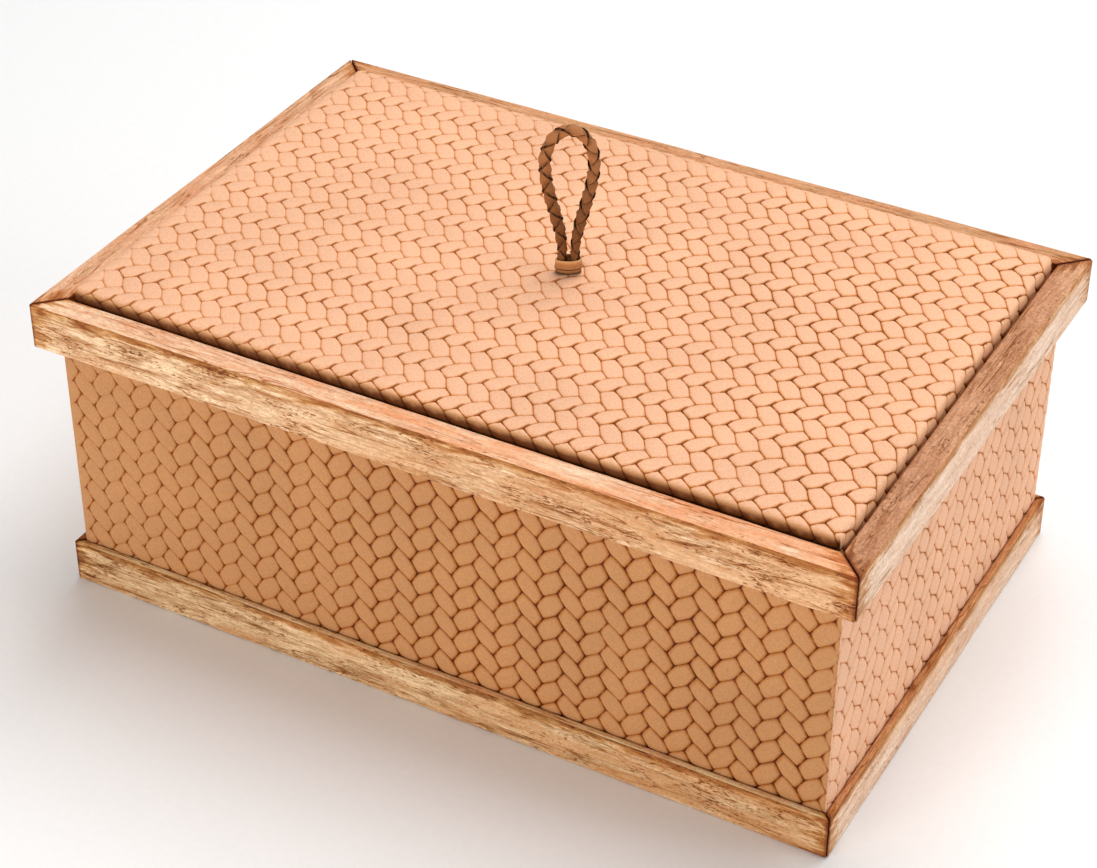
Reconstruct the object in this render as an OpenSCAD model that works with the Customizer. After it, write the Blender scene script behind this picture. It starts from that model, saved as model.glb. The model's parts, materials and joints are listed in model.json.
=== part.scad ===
// Lidded stationery box: a board carcass wrapped in embossed hide, standing in a rebated
// wooden plinth and crowned by a rebated wooden rim. A padded, hide-covered lid drops inside
// the rim, rests on a lined ledge and is lifted by a braided loop.
// Millimetres. Origin: centre of the footprint on the table. +X right, +Y back, +Z up.

/* [Body] */
// Length of the hide-covered body, left to right
body_l = 306; // [220:1:360]
// Depth of the hide-covered body, front to back
body_d = 200; // [150:1:260]
// Height from the table to the top of the rim
box_h = 125; // [95:1:180]
// Thickness of the hide
hide_t = 1.5; // [1:0.1:2]
// Thickness of the wall boards
wall_t = 9; // [7:0.5:12]
// Depth of the rebate that takes the end of a side wall
corner_rebate = 3; // [1:0.5:5]
// Distance of the hide's butt seam from the back left corner
seam_inset = 20; // [5:1:60]
// Width of the hide's butt seam
seam_gap = 0.3; // [0.1:0.1:0.6]

/* [Floor] */
// Thickness of the floor board
floor_t = 4; // [3:0.5:6]
// Height of the floor board's underside above the table
floor_z = 13; // [11:0.5:20]
// Depth of the groove that holds the floor board
floor_groove = 4; // [2:0.5:5]
// Clearance all round the floor board in its groove
floor_fit = 0.1; // [0.05:0.05:0.3]
// Thickness of the baize under the floor board
baize_t = 1; // [0.5:0.1:2]
// Thickness of the padded floor lining
floor_lining_t = 1; // [0.5:0.1:3]

/* [Corner dowels] */
// Diameter of a corner dowel
dowel_d = 4; // [3:0.5:5]
// Length of a corner dowel
dowel_len = 20; // [14:1:30]
// Distance of a dowel from the wall's top or bottom edge
dowel_inset = 20; // [14:1:25]
// Radial clearance of a dowel in its hole
dowel_fit = 0.05; // [0.02:0.01:0.1]

/* [Plinth] */
// Height of the plinth
plinth_h = 17.5; // [12:0.5:30]
// How far the plinth stands out from the hide
plinth_reach = 3; // [2:0.5:8]
// Width of a plinth rail at its foot
plinth_w = 14; // [12:0.5:20]
// Height of the rebate floor that the walls stand on
plinth_seat = 8; // [4:0.5:9]

/* [Rim] */
// Height of the rim
rim_h = 18; // [12:0.5:30]
// Width of a rim rail, seen from above
rim_w = 10; // [8:0.5:13]
// How far the rim overhangs the hide
rim_reach = 7; // [3:0.5:7.5]
// Chamfer on the long edges of rim and plinth
edge_ease = 0.6; // [0.2:0.1:1]
// Gap at each mitred corner
mitre_gap = 0.3; // [0.1:0.1:0.6]

/* [Lining] */
// Thickness of the wall lining
lining_t = 0.8; // [0.5:0.1:1.5]
// Clearance round the loose edges of linings and baize
lining_fit = 0.2; // [0.1:0.1:0.5]

/* [Lid] */
// Depth of the lid's ledge below the top of the rim
lid_drop = 7; // [5.5:0.5:9]
// Height of the lid above the top of the rim
lid_proud = 4.5; // [2.5:0.5:8]
// Clearance between the lid and the rim
lid_gap = 1; // [0.5:0.1:2]
// Radius of the lid's rounded edges
lid_edge_r = 3; // [2.2:0.1:4]
// Thickness of the foam under the lid's hide
padding_t = 1.5; // [0.5:0.1:2.5]
// Width of the hide turned in under the lid
turn_in = 15; // [10:1:25]
// Thickness of the lined card under the lid
lid_card_t = 1.2; // [0.8:0.1:2]
// Clearance between the lid's card and the wall lining
lid_card_gap = 1.5; // [1:0.5:4]

/* [Loop] */
// Height of the loop's top above the lid
loop_h = 59.5; // [45:0.5:90]
// Outside width of the loop
loop_w = 21.8; // [16:0.2:32]
// Height of the loop's arch, from its widest point to its top
arch_h = 15.3; // [10:0.1:22]
// Diameter of the braided cord
cord_d = 4.5; // [3.5:0.1:5]
// Diameter of the cord where the collar squeezes it
neck_d = 3.6; // [3:0.1:4]
// Gap between the two legs of the cord in the collar
leg_gap = 1; // [0.2:0.1:2]
// Turn of the loop about the vertical, from the long side of the lid
loop_turn = 30; // [0:1:90]
// Height of the collar
collar_h = 5.6; // [4:0.1:9]
// Thickness of the collar's hide
collar_t = 0.7; // [0.5:0.1:1.5]
// Clearance of the cord in the collar and in the lid's slot
cord_fit = 0.1; // [0.05:0.05:0.2]
// Gap between the bending loop and the bound cord below it
bend_gap = 0.25; // [0.1:0.05:0.4]

/* [Loop anchor] */
// Radius of the washer
washer_r = 8; // [7:0.1:12]
// Thickness of the washer
washer_t = 1; // [0.6:0.1:1.5]
// Radius of the knot
knot_r = 6.5; // [5:0.1:7]
// Height of the knot
knot_h = 4; // [3:0.1:4.5]
// Clearance round the washer and below the knot in their recess
recess_gap = 0.5; // [0.3:0.1:1]

/* [Hidden] */

$fn = 48;
cut = 1;               // how far a cutting shape runs past the face it opens
loop_sides = 12;       // sides of the loop's tube
end_step = 18;         // degrees between the rings round a leg's rounded end
leg_steps = 16;        // rings up each leg of the loop
arch_steps = 16;       // rings over the loop's arch
hide_color = [0.85, 0.62, 0.45];
wood_color = [0.80, 0.58, 0.37];
board_color = [0.78, 0.66, 0.49];
lining_color = [0.62, 0.50, 0.40];
cord_color = [0.50, 0.32, 0.20];

// Board carcass inside the hide
carcass_l = body_l - 2 * hide_t;
carcass_d = body_d - 2 * hide_t;
inner_l = carcass_l - 2 * wall_t;
inner_d = carcass_d - 2 * wall_t;
ledge_z = box_h - lid_drop;
wall_top = ledge_z - lining_t;
wall_h = wall_top - plinth_seat;
floor_top = floor_z + floor_t;

// Outer sizes of the plinth and the rim, and the opening that the lid drops into
plinth_l = body_l + 2 * plinth_reach;
plinth_d = body_d + 2 * plinth_reach;
rim_l = body_l + 2 * rim_reach;
rim_d = body_d + 2 * rim_reach;
mouth_l = rim_l - 2 * rim_w;
mouth_d = rim_d - 2 * rim_w;

// Lid
lid_l = mouth_l - 2 * lid_gap;
lid_d = mouth_d - 2 * lid_gap;
lid_top = box_h + lid_proud;
core_top = lid_top - hide_t;
board_top = core_top - padding_t;
core_l = lid_l - 2 * hide_t;
core_d = lid_d - 2 * hide_t;

// Recess under the lid, as deep as the washer and the knot that it holds
recess_r = washer_r + recess_gap;
recess_top = ledge_z + recess_gap + knot_h + washer_t;
knot_top = recess_top - washer_t;

// Loop: two legs that bend just above the collar, and an arch of half an ellipse
neck_r = neck_d / 2;
cord_r = cord_d / 2;
leg_u = neck_r + leg_gap / 2;
slot_r = neck_r + cord_fit;
collar_top = lid_top + collar_h;
bend_z = collar_top + neck_r + bend_gap;
arch_u = loop_w / 2 - cord_r;
arch_z = lid_top + loop_h - arch_h;
arch_rise = arch_h - cord_r;

// ---------- shared shapes ----------

// Block centred on the origin in plan, standing on z0
module block(l, d, z0, z1) {
    translate([-l / 2, -d / 2, z0])
        cube([l, d, z1 - z0]);
}

// Places a shape made for the front on side 0 front, 1 right, 2 back or 3 left
module on_side(side) {
    rotate([0, 0, 90 * side])
        children();
}

function run_of(side, l, d) = side % 2 == 0 ? l : d;
function span_of(side, l, d) = side % 2 == 0 ? d : l;

// Straight moulding with mitred ends along one side of an l by d rectangle. The profile's
// points are [distance in from the rectangle's edge, height].
module mitred_rail(side, l, d, profile, width) {
    run = run_of(side, l, d);
    span = span_of(side, l, d);
    half = run / 2 - mitre_gap * sqrt(2) / 2;
    low = min([for (p = profile) p[1]]);
    high = max([for (p = profile) p[1]]);
    on_side(side)
        intersection() {
            translate([-run / 2, -span / 2, 0])
                rotate([90, 0, 90])
                    linear_extrude(height = run)
                        polygon(profile);
            translate([0, -span / 2, low - cut])
                linear_extrude(height = high - low + 2 * cut)
                    polygon([[-half, 0], [half, 0], [half - width, width], [width - half, width]]);
        }
}

// ---------- carcass ----------

module floor_groove_cut() {
    block(inner_l + 2 * (floor_groove + floor_fit), inner_d + 2 * (floor_groove + floor_fit),
        floor_z - floor_fit, floor_top + floor_fit);
}

// Holes or dowels at the four corners, seen from the front and back faces
module at_dowels() {
    for (sx = [-1, 1], end = [0, 1], z = [plinth_seat + dowel_inset, wall_top - dowel_inset])
        rotate([0, 0, 180 * end])
            translate([sx * (carcass_l - wall_t) / 2, -carcass_d / 2, z])
                rotate([-90, 0, 0])
                    children();
}

module dowel_holes() {
    at_dowels()
        translate([0, 0, -cut])
            cylinder(r = dowel_d / 2 + dowel_fit, h = dowel_len + 2 * cut);
}

module corner_dowels() {
    color("burlywood")
        at_dowels()
            cylinder(d = dowel_d, h = dowel_len);
}

// Front and back walls run the full length and take the side walls in end rebates
module long_wall(side) {
    color(board_color)
        difference() {
            on_side(side)
                difference() {
                    translate([-carcass_l / 2, -carcass_d / 2, plinth_seat])
                        cube([carcass_l, wall_t, wall_h]);
                    for (sx = [-1, 1])
                        translate([sx * (carcass_l - wall_t) / 2 - wall_t / 2 - (sx > 0 ? 0 : cut),
                                -carcass_d / 2 + wall_t - corner_rebate, plinth_seat - cut])
                            cube([wall_t + cut, corner_rebate + cut, wall_h + 2 * cut]);
                }
            floor_groove_cut();
            dowel_holes();
        }
}

module side_wall(side) {
    run = inner_d + 2 * corner_rebate;
    color(board_color)
        difference() {
            on_side(side)
                translate([-run / 2, -carcass_l / 2, plinth_seat])
                    cube([run, wall_t, wall_h]);
            floor_groove_cut();
            dowel_holes();
        }
}

module floor_board() {
    color(board_color)
        block(inner_l + 2 * floor_groove, inner_d + 2 * floor_groove, floor_z, floor_top);
}

// One strip of hide folded round the four corners and butted at the back
module body_hide() {
    x = body_l / 2 - hide_t;
    y = body_d / 2 - hide_t;
    color(hide_color)
        difference() {
            translate([0, 0, plinth_seat])
                linear_extrude(height = wall_h) {
                    square([body_l, body_d - 2 * hide_t], center = true);
                    square([body_l - 2 * hide_t, body_d], center = true);
                    for (sx = [-1, 1], sy = [-1, 1])
                        translate([sx * x, sy * y])
                            circle(r = hide_t);
                }
            block(carcass_l, carcass_d, plinth_seat - cut, wall_top + cut);
            translate([-body_l / 2 + seam_inset, carcass_d / 2 - cut, plinth_seat - cut])
                cube([seam_gap, hide_t + 2 * cut, wall_h + 2 * cut]);
        }
}

// ---------- plinth and rim ----------

// The lip hides the foot of the hide; the walls stand on the rebate
module plinth_rail(side) {
    e = edge_ease;
    color(wood_color)
        mitred_rail(side, plinth_l, plinth_d, [
            [e, 0], [plinth_w, 0], [plinth_w, plinth_seat], [plinth_reach, plinth_seat],
            [plinth_reach, plinth_h], [e, plinth_h], [0, plinth_h - e], [0, e]], plinth_w);
}

// The rim hooks over the top edge of the walls and hangs down outside the hide
module rim_rail(side) {
    e = edge_ease;
    rim_z = box_h - rim_h;
    color(wood_color)
        mitred_rail(side, rim_l, rim_d, [
            [0, rim_z + e], [e, rim_z], [rim_reach, rim_z], [rim_reach, wall_top], [rim_w, wall_top],
            [rim_w, box_h - e], [rim_w - e, box_h], [e, box_h], [0, box_h - e]], rim_w);
}

// ---------- linings ----------

// Covers the inner face of a wall and folds out over its top to make the lid's ledge
module wall_lining(side) {
    ledge_w = (mouth_l - inner_l) / 2;
    deep = ledge_w + lining_t;
    color(lining_color)
        mitred_rail(side, mouth_l, mouth_d, [
            [0, wall_top], [ledge_w, wall_top], [ledge_w, floor_top], [deep, floor_top],
            [deep, ledge_z], [0, ledge_z]], deep);
}

module floor_lining() {
    trim = 2 * (lining_t + lining_fit);
    color(lining_color)
        block(inner_l - trim, inner_d - trim, floor_top, floor_top + floor_lining_t);
}

module base_baize() {
    color(lining_color)
        block(inner_l - 2 * lining_fit, inner_d - 2 * lining_fit, floor_z - baize_t, floor_z);
}

// ---------- lid ----------

// Block with rounded upright corners and rounded top edges
module pillow_block(l, d, z0, z1, r) {
    x = l / 2 - r;
    y = d / 2 - r;
    block(l, d - 2 * r, z0, z1 - r);
    block(l - 2 * r, d, z0, z1 - r);
    block(l - 2 * r, d - 2 * r, z0, z1);
    for (s = [-1, 1]) {
        translate([0, s * y, z1 - r])
            rotate([0, 90, 0])
                cylinder(r = r, h = 2 * x, center = true);
        translate([s * x, 0, z1 - r])
            rotate([90, 0, 0])
                cylinder(r = r, h = 2 * y, center = true);
    }
    for (sx = [-1, 1], sy = [-1, 1])
        translate([sx * x, sy * y, z0]) {
            cylinder(r = r, h = z1 - r - z0);
            translate([0, 0, z1 - r - z0])
                sphere(r = r);
        }
}

// Everything that the lid's hide is stretched over
module lid_core() {
    pillow_block(core_l, core_d, ledge_z, core_top, lid_edge_r - hide_t);
}

// Upright shape with two straight sides and two round ends, round both legs of the cord
module round_both_legs(r, z0, z1) {
    rotate([0, 0, loop_turn]) {
        for (s = [-1, 1])
            translate([s * leg_u, 0, z0])
                cylinder(r = r, h = z1 - z0);
        block(2 * leg_u, 2 * r, z0, z1);
    }
}

module cord_slot() {
    round_both_legs(slot_r, ledge_z - cut, collar_top + cut);
}

module lid_board() {
    color(board_color)
        difference() {
            intersection() {
                lid_core();
                block(lid_l, lid_d, ledge_z, board_top);
            }
            difference() {
                block(lid_l, lid_d, ledge_z - cut, ledge_z + hide_t);
                block(lid_l - 2 * turn_in, lid_d - 2 * turn_in, ledge_z - 2 * cut, lid_top);
            }
            cord_slot();
            translate([0, 0, ledge_z - cut])
                cylinder(r = recess_r, h = recess_top - ledge_z + cut);
        }
}

module lid_padding() {
    color("whitesmoke")
        difference() {
            intersection() {
                lid_core();
                block(lid_l, lid_d, board_top, core_top);
            }
            cord_slot();
        }
}

// Stretched over the padding, down the edges and turned in under the board
module lid_hide() {
    color(hide_color)
        difference() {
            pillow_block(lid_l, lid_d, ledge_z, lid_top, lid_edge_r);
            intersection() {
                lid_core();
                block(lid_l, lid_d, ledge_z + hide_t, lid_top);
            }
            block(lid_l - 2 * turn_in, lid_d - 2 * turn_in, ledge_z - cut, ledge_z + hide_t + cut);
            cord_slot();
        }
}

module lid_card() {
    trim = 2 * (lining_t + lid_card_gap);
    color(lining_color)
        block(inner_l - trim, inner_d - trim, ledge_z - lid_card_t, ledge_z);
}

// ---------- loop ----------

module loop_washer() {
    color("goldenrod")
        difference() {
            translate([0, 0, knot_top])
                cylinder(r = washer_r, h = washer_t);
            cord_slot();
        }
}

// The two ends of the cord, from the collar down through the lid to the knot that holds them
module loop_tails() {
    round_r = knot_h / 2;
    knot_z = knot_top - round_r;
    color(cord_color) {
        rotate([0, 0, loop_turn])
            for (s = [-1, 1])
                translate([s * leg_u, 0, knot_z])
                    cylinder(r = neck_r, h = collar_top - knot_z);
        translate([0, 0, knot_z])
            rotate_extrude() {
                translate([knot_r - round_r, 0])
                    intersection() {
                        circle(r = round_r);
                        translate([0, -round_r])
                            square([round_r, knot_h]);
                    }
                translate([0, -round_r])
                    square([knot_r - round_r, knot_h]);
            }
    }
}

// Band of hide that binds the two legs on top of the lid
module loop_collar() {
    color(cord_color)
        difference() {
            round_both_legs(slot_r + collar_t, lid_top, collar_top);
            cord_slot();
        }
}

// Eases from 0 to 1 with level ends
function ease_in_out(s) = s * s * (3 - 2 * s);

// Stations of the loop's tube in its own plane: [across, up, heading in degrees, radius]
function end_station(a) = [leg_u, bend_z - neck_r * cos(a), 90, neck_r * sin(a)];
function leg_station(s) =
    let (rise = arch_z - bend_z, spread = arch_u - leg_u)
    [leg_u + spread * ease_in_out(s), bend_z + rise * s,
        90 - atan(6 * s * (1 - s) * spread / rise), neck_r + (cord_r - neck_r) * ease_in_out(s)];
function arch_station(a) =
    [arch_u * cos(a), arch_z + arch_rise * sin(a),
        atan2(arch_rise * cos(a), -arch_u * sin(a)), cord_r];
function flipped(p) = [-p[0], p[1], -p[2], p[3]];

half_loop = concat(
    [for (a = [end_step:end_step:90 - end_step]) end_station(a)],
    [for (i = [0:leg_steps - 1]) leg_station(i / leg_steps)],
    [for (i = [0:arch_steps / 2 - 1]) arch_station(180 * i / arch_steps)]);
loop_stations = concat(half_loop, [arch_station(90)],
    [for (i = [len(half_loop) - 1:-1:0]) flipped(half_loop[i])]);

function ring(p) = [for (k = [0:loop_sides - 1])
    let (a = 360 * k / loop_sides, across = p[3] * cos(a))
    [p[0] + across * sin(p[2]), p[3] * sin(a), p[1] - across * cos(p[2])]];

// Closed tube through a list of stations
module station_tube(stations) {
    n = loop_sides;
    last = len(stations) - 1;
    points = [for (p = stations) each ring(p)];
    sides = [for (i = [0:last - 1], k = [0:n - 1])
        let (a = i * n + k, b = i * n + (k + 1) % n)
        each [[a, b, a + n], [b, b + n, a + n]]];
    first_cap = [for (k = [1:n - 2]) [0, k + 1, k]];
    last_cap = [for (k = [1:n - 2]) [last * n, last * n + k, last * n + k + 1]];
    polyhedron(points, concat(sides, first_cap, last_cap));
}

module pull_loop() {
    color(cord_color)
        rotate([0, 0, loop_turn])
            station_tube(loop_stations);
}

// ---------- parts ----------

long_wall(0);  // wall_front
side_wall(1);  // wall_right
long_wall(2);  // wall_back
side_wall(3);  // wall_left
corner_dowels();
floor_board();
body_hide();
plinth_rail(0);  // plinth_front
plinth_rail(1);  // plinth_right
plinth_rail(2);  // plinth_back
plinth_rail(3);  // plinth_left
rim_rail(0);  // rim_front
rim_rail(1);  // rim_right
rim_rail(2);  // rim_back
rim_rail(3);  // rim_left
wall_lining(0);  // lining_front
wall_lining(1);  // lining_right
wall_lining(2);  // lining_back
wall_lining(3);  // lining_left
floor_lining();
base_baize();
lid_board();
lid_padding();
lid_hide();
lid_card();
loop_washer();
loop_tails();
loop_collar();
pull_loop();
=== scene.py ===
"""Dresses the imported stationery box: embossed hide, mitred timber rails and a braided pull loop.

Blender works in metres. Sizes of the work itself are written in millimetres, as a maker would
measure them, and are multiplied by MM where they meet Blender.
"""

import json
import logging
import math
from bisect import bisect_right
from collections.abc import Callable, Iterator, Sequence
from contextlib import contextmanager
from dataclasses import dataclass, field
from enum import Enum

import bmesh
import bpy
from mathutils import Matrix, Vector, noise

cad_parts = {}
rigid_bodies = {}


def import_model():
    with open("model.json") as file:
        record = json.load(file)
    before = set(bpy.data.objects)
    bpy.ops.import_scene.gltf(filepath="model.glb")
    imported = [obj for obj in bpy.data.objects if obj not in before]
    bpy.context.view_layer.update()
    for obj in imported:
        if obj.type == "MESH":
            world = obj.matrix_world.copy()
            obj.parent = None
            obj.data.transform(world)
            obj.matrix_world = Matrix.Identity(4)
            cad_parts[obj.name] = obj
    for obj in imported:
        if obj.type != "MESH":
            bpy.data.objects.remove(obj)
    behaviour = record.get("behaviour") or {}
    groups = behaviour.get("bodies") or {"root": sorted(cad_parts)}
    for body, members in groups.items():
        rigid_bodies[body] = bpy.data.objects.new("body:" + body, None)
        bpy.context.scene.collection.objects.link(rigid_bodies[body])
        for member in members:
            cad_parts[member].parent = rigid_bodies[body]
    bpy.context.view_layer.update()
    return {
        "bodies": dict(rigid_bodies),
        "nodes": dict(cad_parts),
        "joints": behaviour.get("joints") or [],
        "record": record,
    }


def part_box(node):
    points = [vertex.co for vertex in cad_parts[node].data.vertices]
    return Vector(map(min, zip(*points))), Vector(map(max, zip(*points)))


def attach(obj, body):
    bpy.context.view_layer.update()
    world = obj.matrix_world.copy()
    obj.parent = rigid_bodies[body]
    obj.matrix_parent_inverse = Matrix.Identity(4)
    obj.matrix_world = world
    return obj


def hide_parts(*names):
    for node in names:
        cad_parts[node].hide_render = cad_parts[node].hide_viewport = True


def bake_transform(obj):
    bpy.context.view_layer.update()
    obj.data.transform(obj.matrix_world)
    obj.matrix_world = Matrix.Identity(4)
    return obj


MM = 0.001
LOG = logging.getLogger("stationery_box")
# numbers of the colour sockets on a Mix node
MIX_SHARE, MIX_A, MIX_B, MIX_COLOUR = 0, 6, 7, 2

Piece = bpy.types.Object
Tree = bpy.types.NodeTree
Socket = bpy.types.NodeSocket
Spot = tuple[float, float]
Triple = tuple[float, float, float]


# ---------------------------------------------------------------------------------------------
# Tools
# ---------------------------------------------------------------------------------------------


class Kind(Enum):
    """What an edit-mode selection picks out."""

    VERT = "verts"
    EDGE = "edges"
    FACE = "faces"


class Bench:
    """Blender's own modelling tools, with the selecting and tidying that a hand would do."""

    @staticmethod
    def pick(piece: Piece) -> None:
        """Selects one piece alone and makes it active.

        Args:
            piece: the piece.
        """
        bpy.ops.object.select_all(action="DESELECT")
        piece.select_set(True)
        bpy.context.view_layer.objects.active = piece

    @staticmethod
    def take(name: str) -> Piece:
        """Names the primitive that was just added.

        Args:
            name: its new name.

        Returns:
            The primitive.
        """
        piece = bpy.context.active_object
        piece.name = piece.data.name = name
        return piece

    @staticmethod
    def settle(piece: Piece) -> None:
        """Moves a piece's place, turn and scale into its mesh."""
        Bench.pick(piece)
        bpy.ops.object.transform_apply(location=True, rotation=True, scale=True)

    @staticmethod
    def block(name: str, low: Triple, high: Triple) -> Piece:
        """Adds a block between two corners, with its place in its mesh.

        Args:
            name: name of the new piece.
            low: lowest corner, in millimetres.
            high: highest corner, in millimetres.

        Returns:
            The block, as an object at the origin.
        """
        low, high = Vector(low) * MM, Vector(high) * MM
        bpy.ops.object.select_all(action="DESELECT")
        bpy.ops.mesh.primitive_cube_add(size=1.0, location=(low + high) / 2)
        piece = Bench.take(name)
        piece.scale = high - low
        Bench.settle(piece)
        return piece

    @staticmethod
    @contextmanager
    def editing(piece: Piece) -> Iterator[None]:
        """Holds one piece in edit mode, all selected at first.

        Args:
            piece: the piece.

        Yields:
            Nothing.
        """
        Bench.pick(piece)
        bpy.ops.object.mode_set(mode="EDIT")
        bpy.ops.mesh.select_all(action="SELECT")
        try:
            yield
        finally:
            bpy.ops.object.mode_set(mode="OBJECT")

    @staticmethod
    def choose(piece: Piece, kind: Kind, test: Callable[..., bool]) -> None:
        """Selects what passes a test, in edit mode.

        Args:
            piece: the piece being edited.
            kind: vertices, edges or faces.
            test: takes one such element and says whether to select it.
        """
        bpy.ops.mesh.select_mode(type=kind.name)
        bpy.ops.mesh.select_all(action="DESELECT")
        mesh = bmesh.from_edit_mesh(piece.data)
        for element in getattr(mesh, kind.value):
            if test(element):
                element.select_set(True)
        bmesh.update_edit_mesh(piece.data)

    @staticmethod
    def runs(edge: bmesh.types.BMEdge, axis: int) -> bool:
        """Says whether an edge runs along an axis, from 0 for X to 2 for Z."""
        return abs((edge.verts[0].co - edge.verts[1].co).normalized()[axis]) > 0.99

    @staticmethod
    def choose_along(piece: Piece, axis: int) -> None:
        """Selects the edges that run along an axis, in edit mode."""
        Bench.choose(piece, Kind.EDGE, lambda edge: Bench.runs(edge, axis))

    @staticmethod
    def saw(place: Sequence[float], facing: Sequence[float], **settings: bool) -> None:
        """Cuts all that is being edited at a plane through a place given in millimetres."""
        bpy.ops.mesh.select_all(action="SELECT")
        bpy.ops.mesh.bisect(plane_co=[part * MM for part in place], plane_no=facing, **settings)

    @staticmethod
    def saw_square(low: Spot, high: Spot, **settings: bool) -> None:
        """Cuts all that is being edited at the four sides of a rectangle in X and Y.

        Args:
            low: lowest corner, in millimetres.
            high: highest corner.
            settings: what the cuts do besides.
        """
        for axis in (0, 1):
            for side, limit in ((-1, low), (1, high)):
                place, facing = [0, 0, 0], [0, 0, 0]
                place[axis], facing[axis] = limit[axis], side
                Bench.saw(place, facing, **settings)

    @staticmethod
    def repeat(piece: Piece, step: Vector, count: int) -> None:
        """Repeats a piece in a row.

        Args:
            piece: the piece, whose mesh becomes the whole row.
            step: the way from one to the next in X and Y, in millimetres.
            count: how many the row has.
        """
        Bench.pick(piece)
        row = piece.modifiers.new("Array", "ARRAY")
        row.count = count
        row.use_relative_offset = False
        row.use_constant_offset = True
        row.constant_offset_displace = (step * MM).to_3d()
        bpy.ops.object.modifier_apply(modifier=row.name)

    @staticmethod
    def join(pieces: list[Piece], name: str) -> Piece:
        """Joins pieces into one mesh under a new name.

        Args:
            pieces: the pieces, which become one.
            name: name of the joined piece.

        Returns:
            The joined piece.
        """
        Bench.pick(pieces[0])
        for piece in pieces[1:]:
            piece.select_set(True)
        bpy.ops.object.join()
        return Bench.take(name)

    @staticmethod
    def smooth(piece: Piece, angle: float) -> None:
        """Shades a piece smooth, with edges sharper than the angle in degrees left crisp."""
        Bench.pick(piece)
        bpy.ops.object.shade_smooth_by_angle(angle=math.radians(angle))

    @staticmethod
    def reshape(piece: Piece, move: Callable[[Vector], Vector]) -> None:
        """Moves every vertex of a piece.

        Args:
            piece: the piece.
            move: gives a vertex's new place from its old one, in metres.
        """
        for vertex in piece.data.vertices:
            vertex.co = move(vertex.co)
        piece.data.update()

    @staticmethod
    def record(piece: Piece, attribute: str, value: Callable[[Vector], float]) -> None:
        """Stores a number at each vertex, for the finish to read.

        Args:
            piece: the piece.
            attribute: name of the number.
            value: gives it from the vertex's place, in metres.
        """
        layer = piece.data.attributes.new(attribute, "FLOAT", "POINT")
        for vertex in piece.data.vertices:
            layer.data[vertex.index].value = value(vertex.co)


def ease(share: float) -> float:
    """Eases a share from 0 to 1 with level ends."""
    share = min(1.0, max(0.0, share))
    return share * share * (3 - 2 * share)


def wander(x: float, y: float, span: float, seed: float) -> float:
    """Smooth noise from about -1 to 1 that turns over every span, in the units of x and y."""
    return noise.noise(Vector((x / span, y / span, seed)))


# ---------------------------------------------------------------------------------------------
# Finishes
# ---------------------------------------------------------------------------------------------


def linear(colour: str) -> tuple[float, ...]:
    """Turns an sRGB hex colour such as #C98A5C into linear RGBA."""
    channels = [int(colour[i : i + 2], 16) / 255 for i in (1, 3, 5)]
    return (*(c / 12.92 if c <= 0.04045 else ((c + 0.055) / 1.055) ** 2.4 for c in channels), 1.0)


def add_node(
    tree: Tree,
    kind: str,
    inputs: dict[str | int, object],
    out: str | int = 0,
    stops: Sequence[tuple[float, str]] = (),
    **settings: object,
) -> Socket | None:
    """Adds a node with its settings, values, links and colour stops.

    Args:
        tree: the material's or world's node tree.
        kind: the node's type name, without the ShaderNode that they all begin with.
        inputs: for each input, by name or number, a value, hex colour or feeding socket.
        out: the output that is wanted, by name or number.
        stops: for a colour ramp, its positions and hex colours.
        settings: the node's own properties.

    Returns:
        The output, or None where the node has none.
    """
    node = tree.nodes.new(f"ShaderNode{kind}")
    for key, value in settings.items():
        setattr(node, key, value)
    for key, value in inputs.items():
        if isinstance(value, Socket):
            tree.links.new(value, node.inputs[key])
        else:
            node.inputs[key].default_value = linear(value) if isinstance(value, str) else value
    for number, (position, colour) in enumerate(stops):
        ramp = node.color_ramp.elements
        stop = ramp[number] if number < len(ramp) else ramp.new(position)
        stop.position = position
        stop.color = linear(colour)
    return node.outputs[out] if node.outputs else None


def darken(tree: Tree, under: Socket, colour: str, depth: Socket) -> Socket:
    """Darkens a colour, as a clear layer does that swallows more light the deeper it is: real stains and wax
    on timber, painted shade in hide pits.
    """
    layer = add_node(tree, "Gamma", {"Color": colour, "Gamma": depth})
    return add_node(tree, "VectorMath", {0: under, 1: layer}, operation="MULTIPLY")


def weighed(tree: Tree, *parts: tuple[Socket, float]) -> Socket:
    """Adds numbers up, each with its weight.

    Args:
        tree: the node tree.
        parts: the numbers, each with its weight.

    Returns:
        Their weighted sum.
    """
    total = 0.0
    for part, weight in parts:
        total = add_node(tree, "Math", {0: part, 1: weight, 2: total}, operation="MULTIPLY_ADD")
    return total


@dataclass(frozen=True)
class Finish:
    """What every finish has: a name, a gloss, and its own pattern over the surface."""

    name: str
    roughness: float = 0.6

    def material(self) -> bpy.types.Material:
        """Builds the material.

        Returns:
            A new material with one shader, fed by the finish's own pattern.
        """
        material = bpy.data.materials.new(self.name)
        material.use_nodes = True
        tree = material.node_tree
        tree.nodes.clear()
        shader = add_node(tree, "BsdfPrincipled", {"Roughness": self.roughness, **self.pattern(tree)})
        add_node(tree, "OutputMaterial", {"Surface": shader})
        return material

    def pattern(self, tree: Tree) -> dict[str, object]:
        """Adds the pattern's nodes to a tree and gives what they feed to the shader."""
        raise NotImplementedError

    def dress(self, piece: Piece) -> None:
        """Gives a whole piece this finish."""
        piece.data.materials.clear()
        piece.data.materials.append(self.material())


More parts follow.
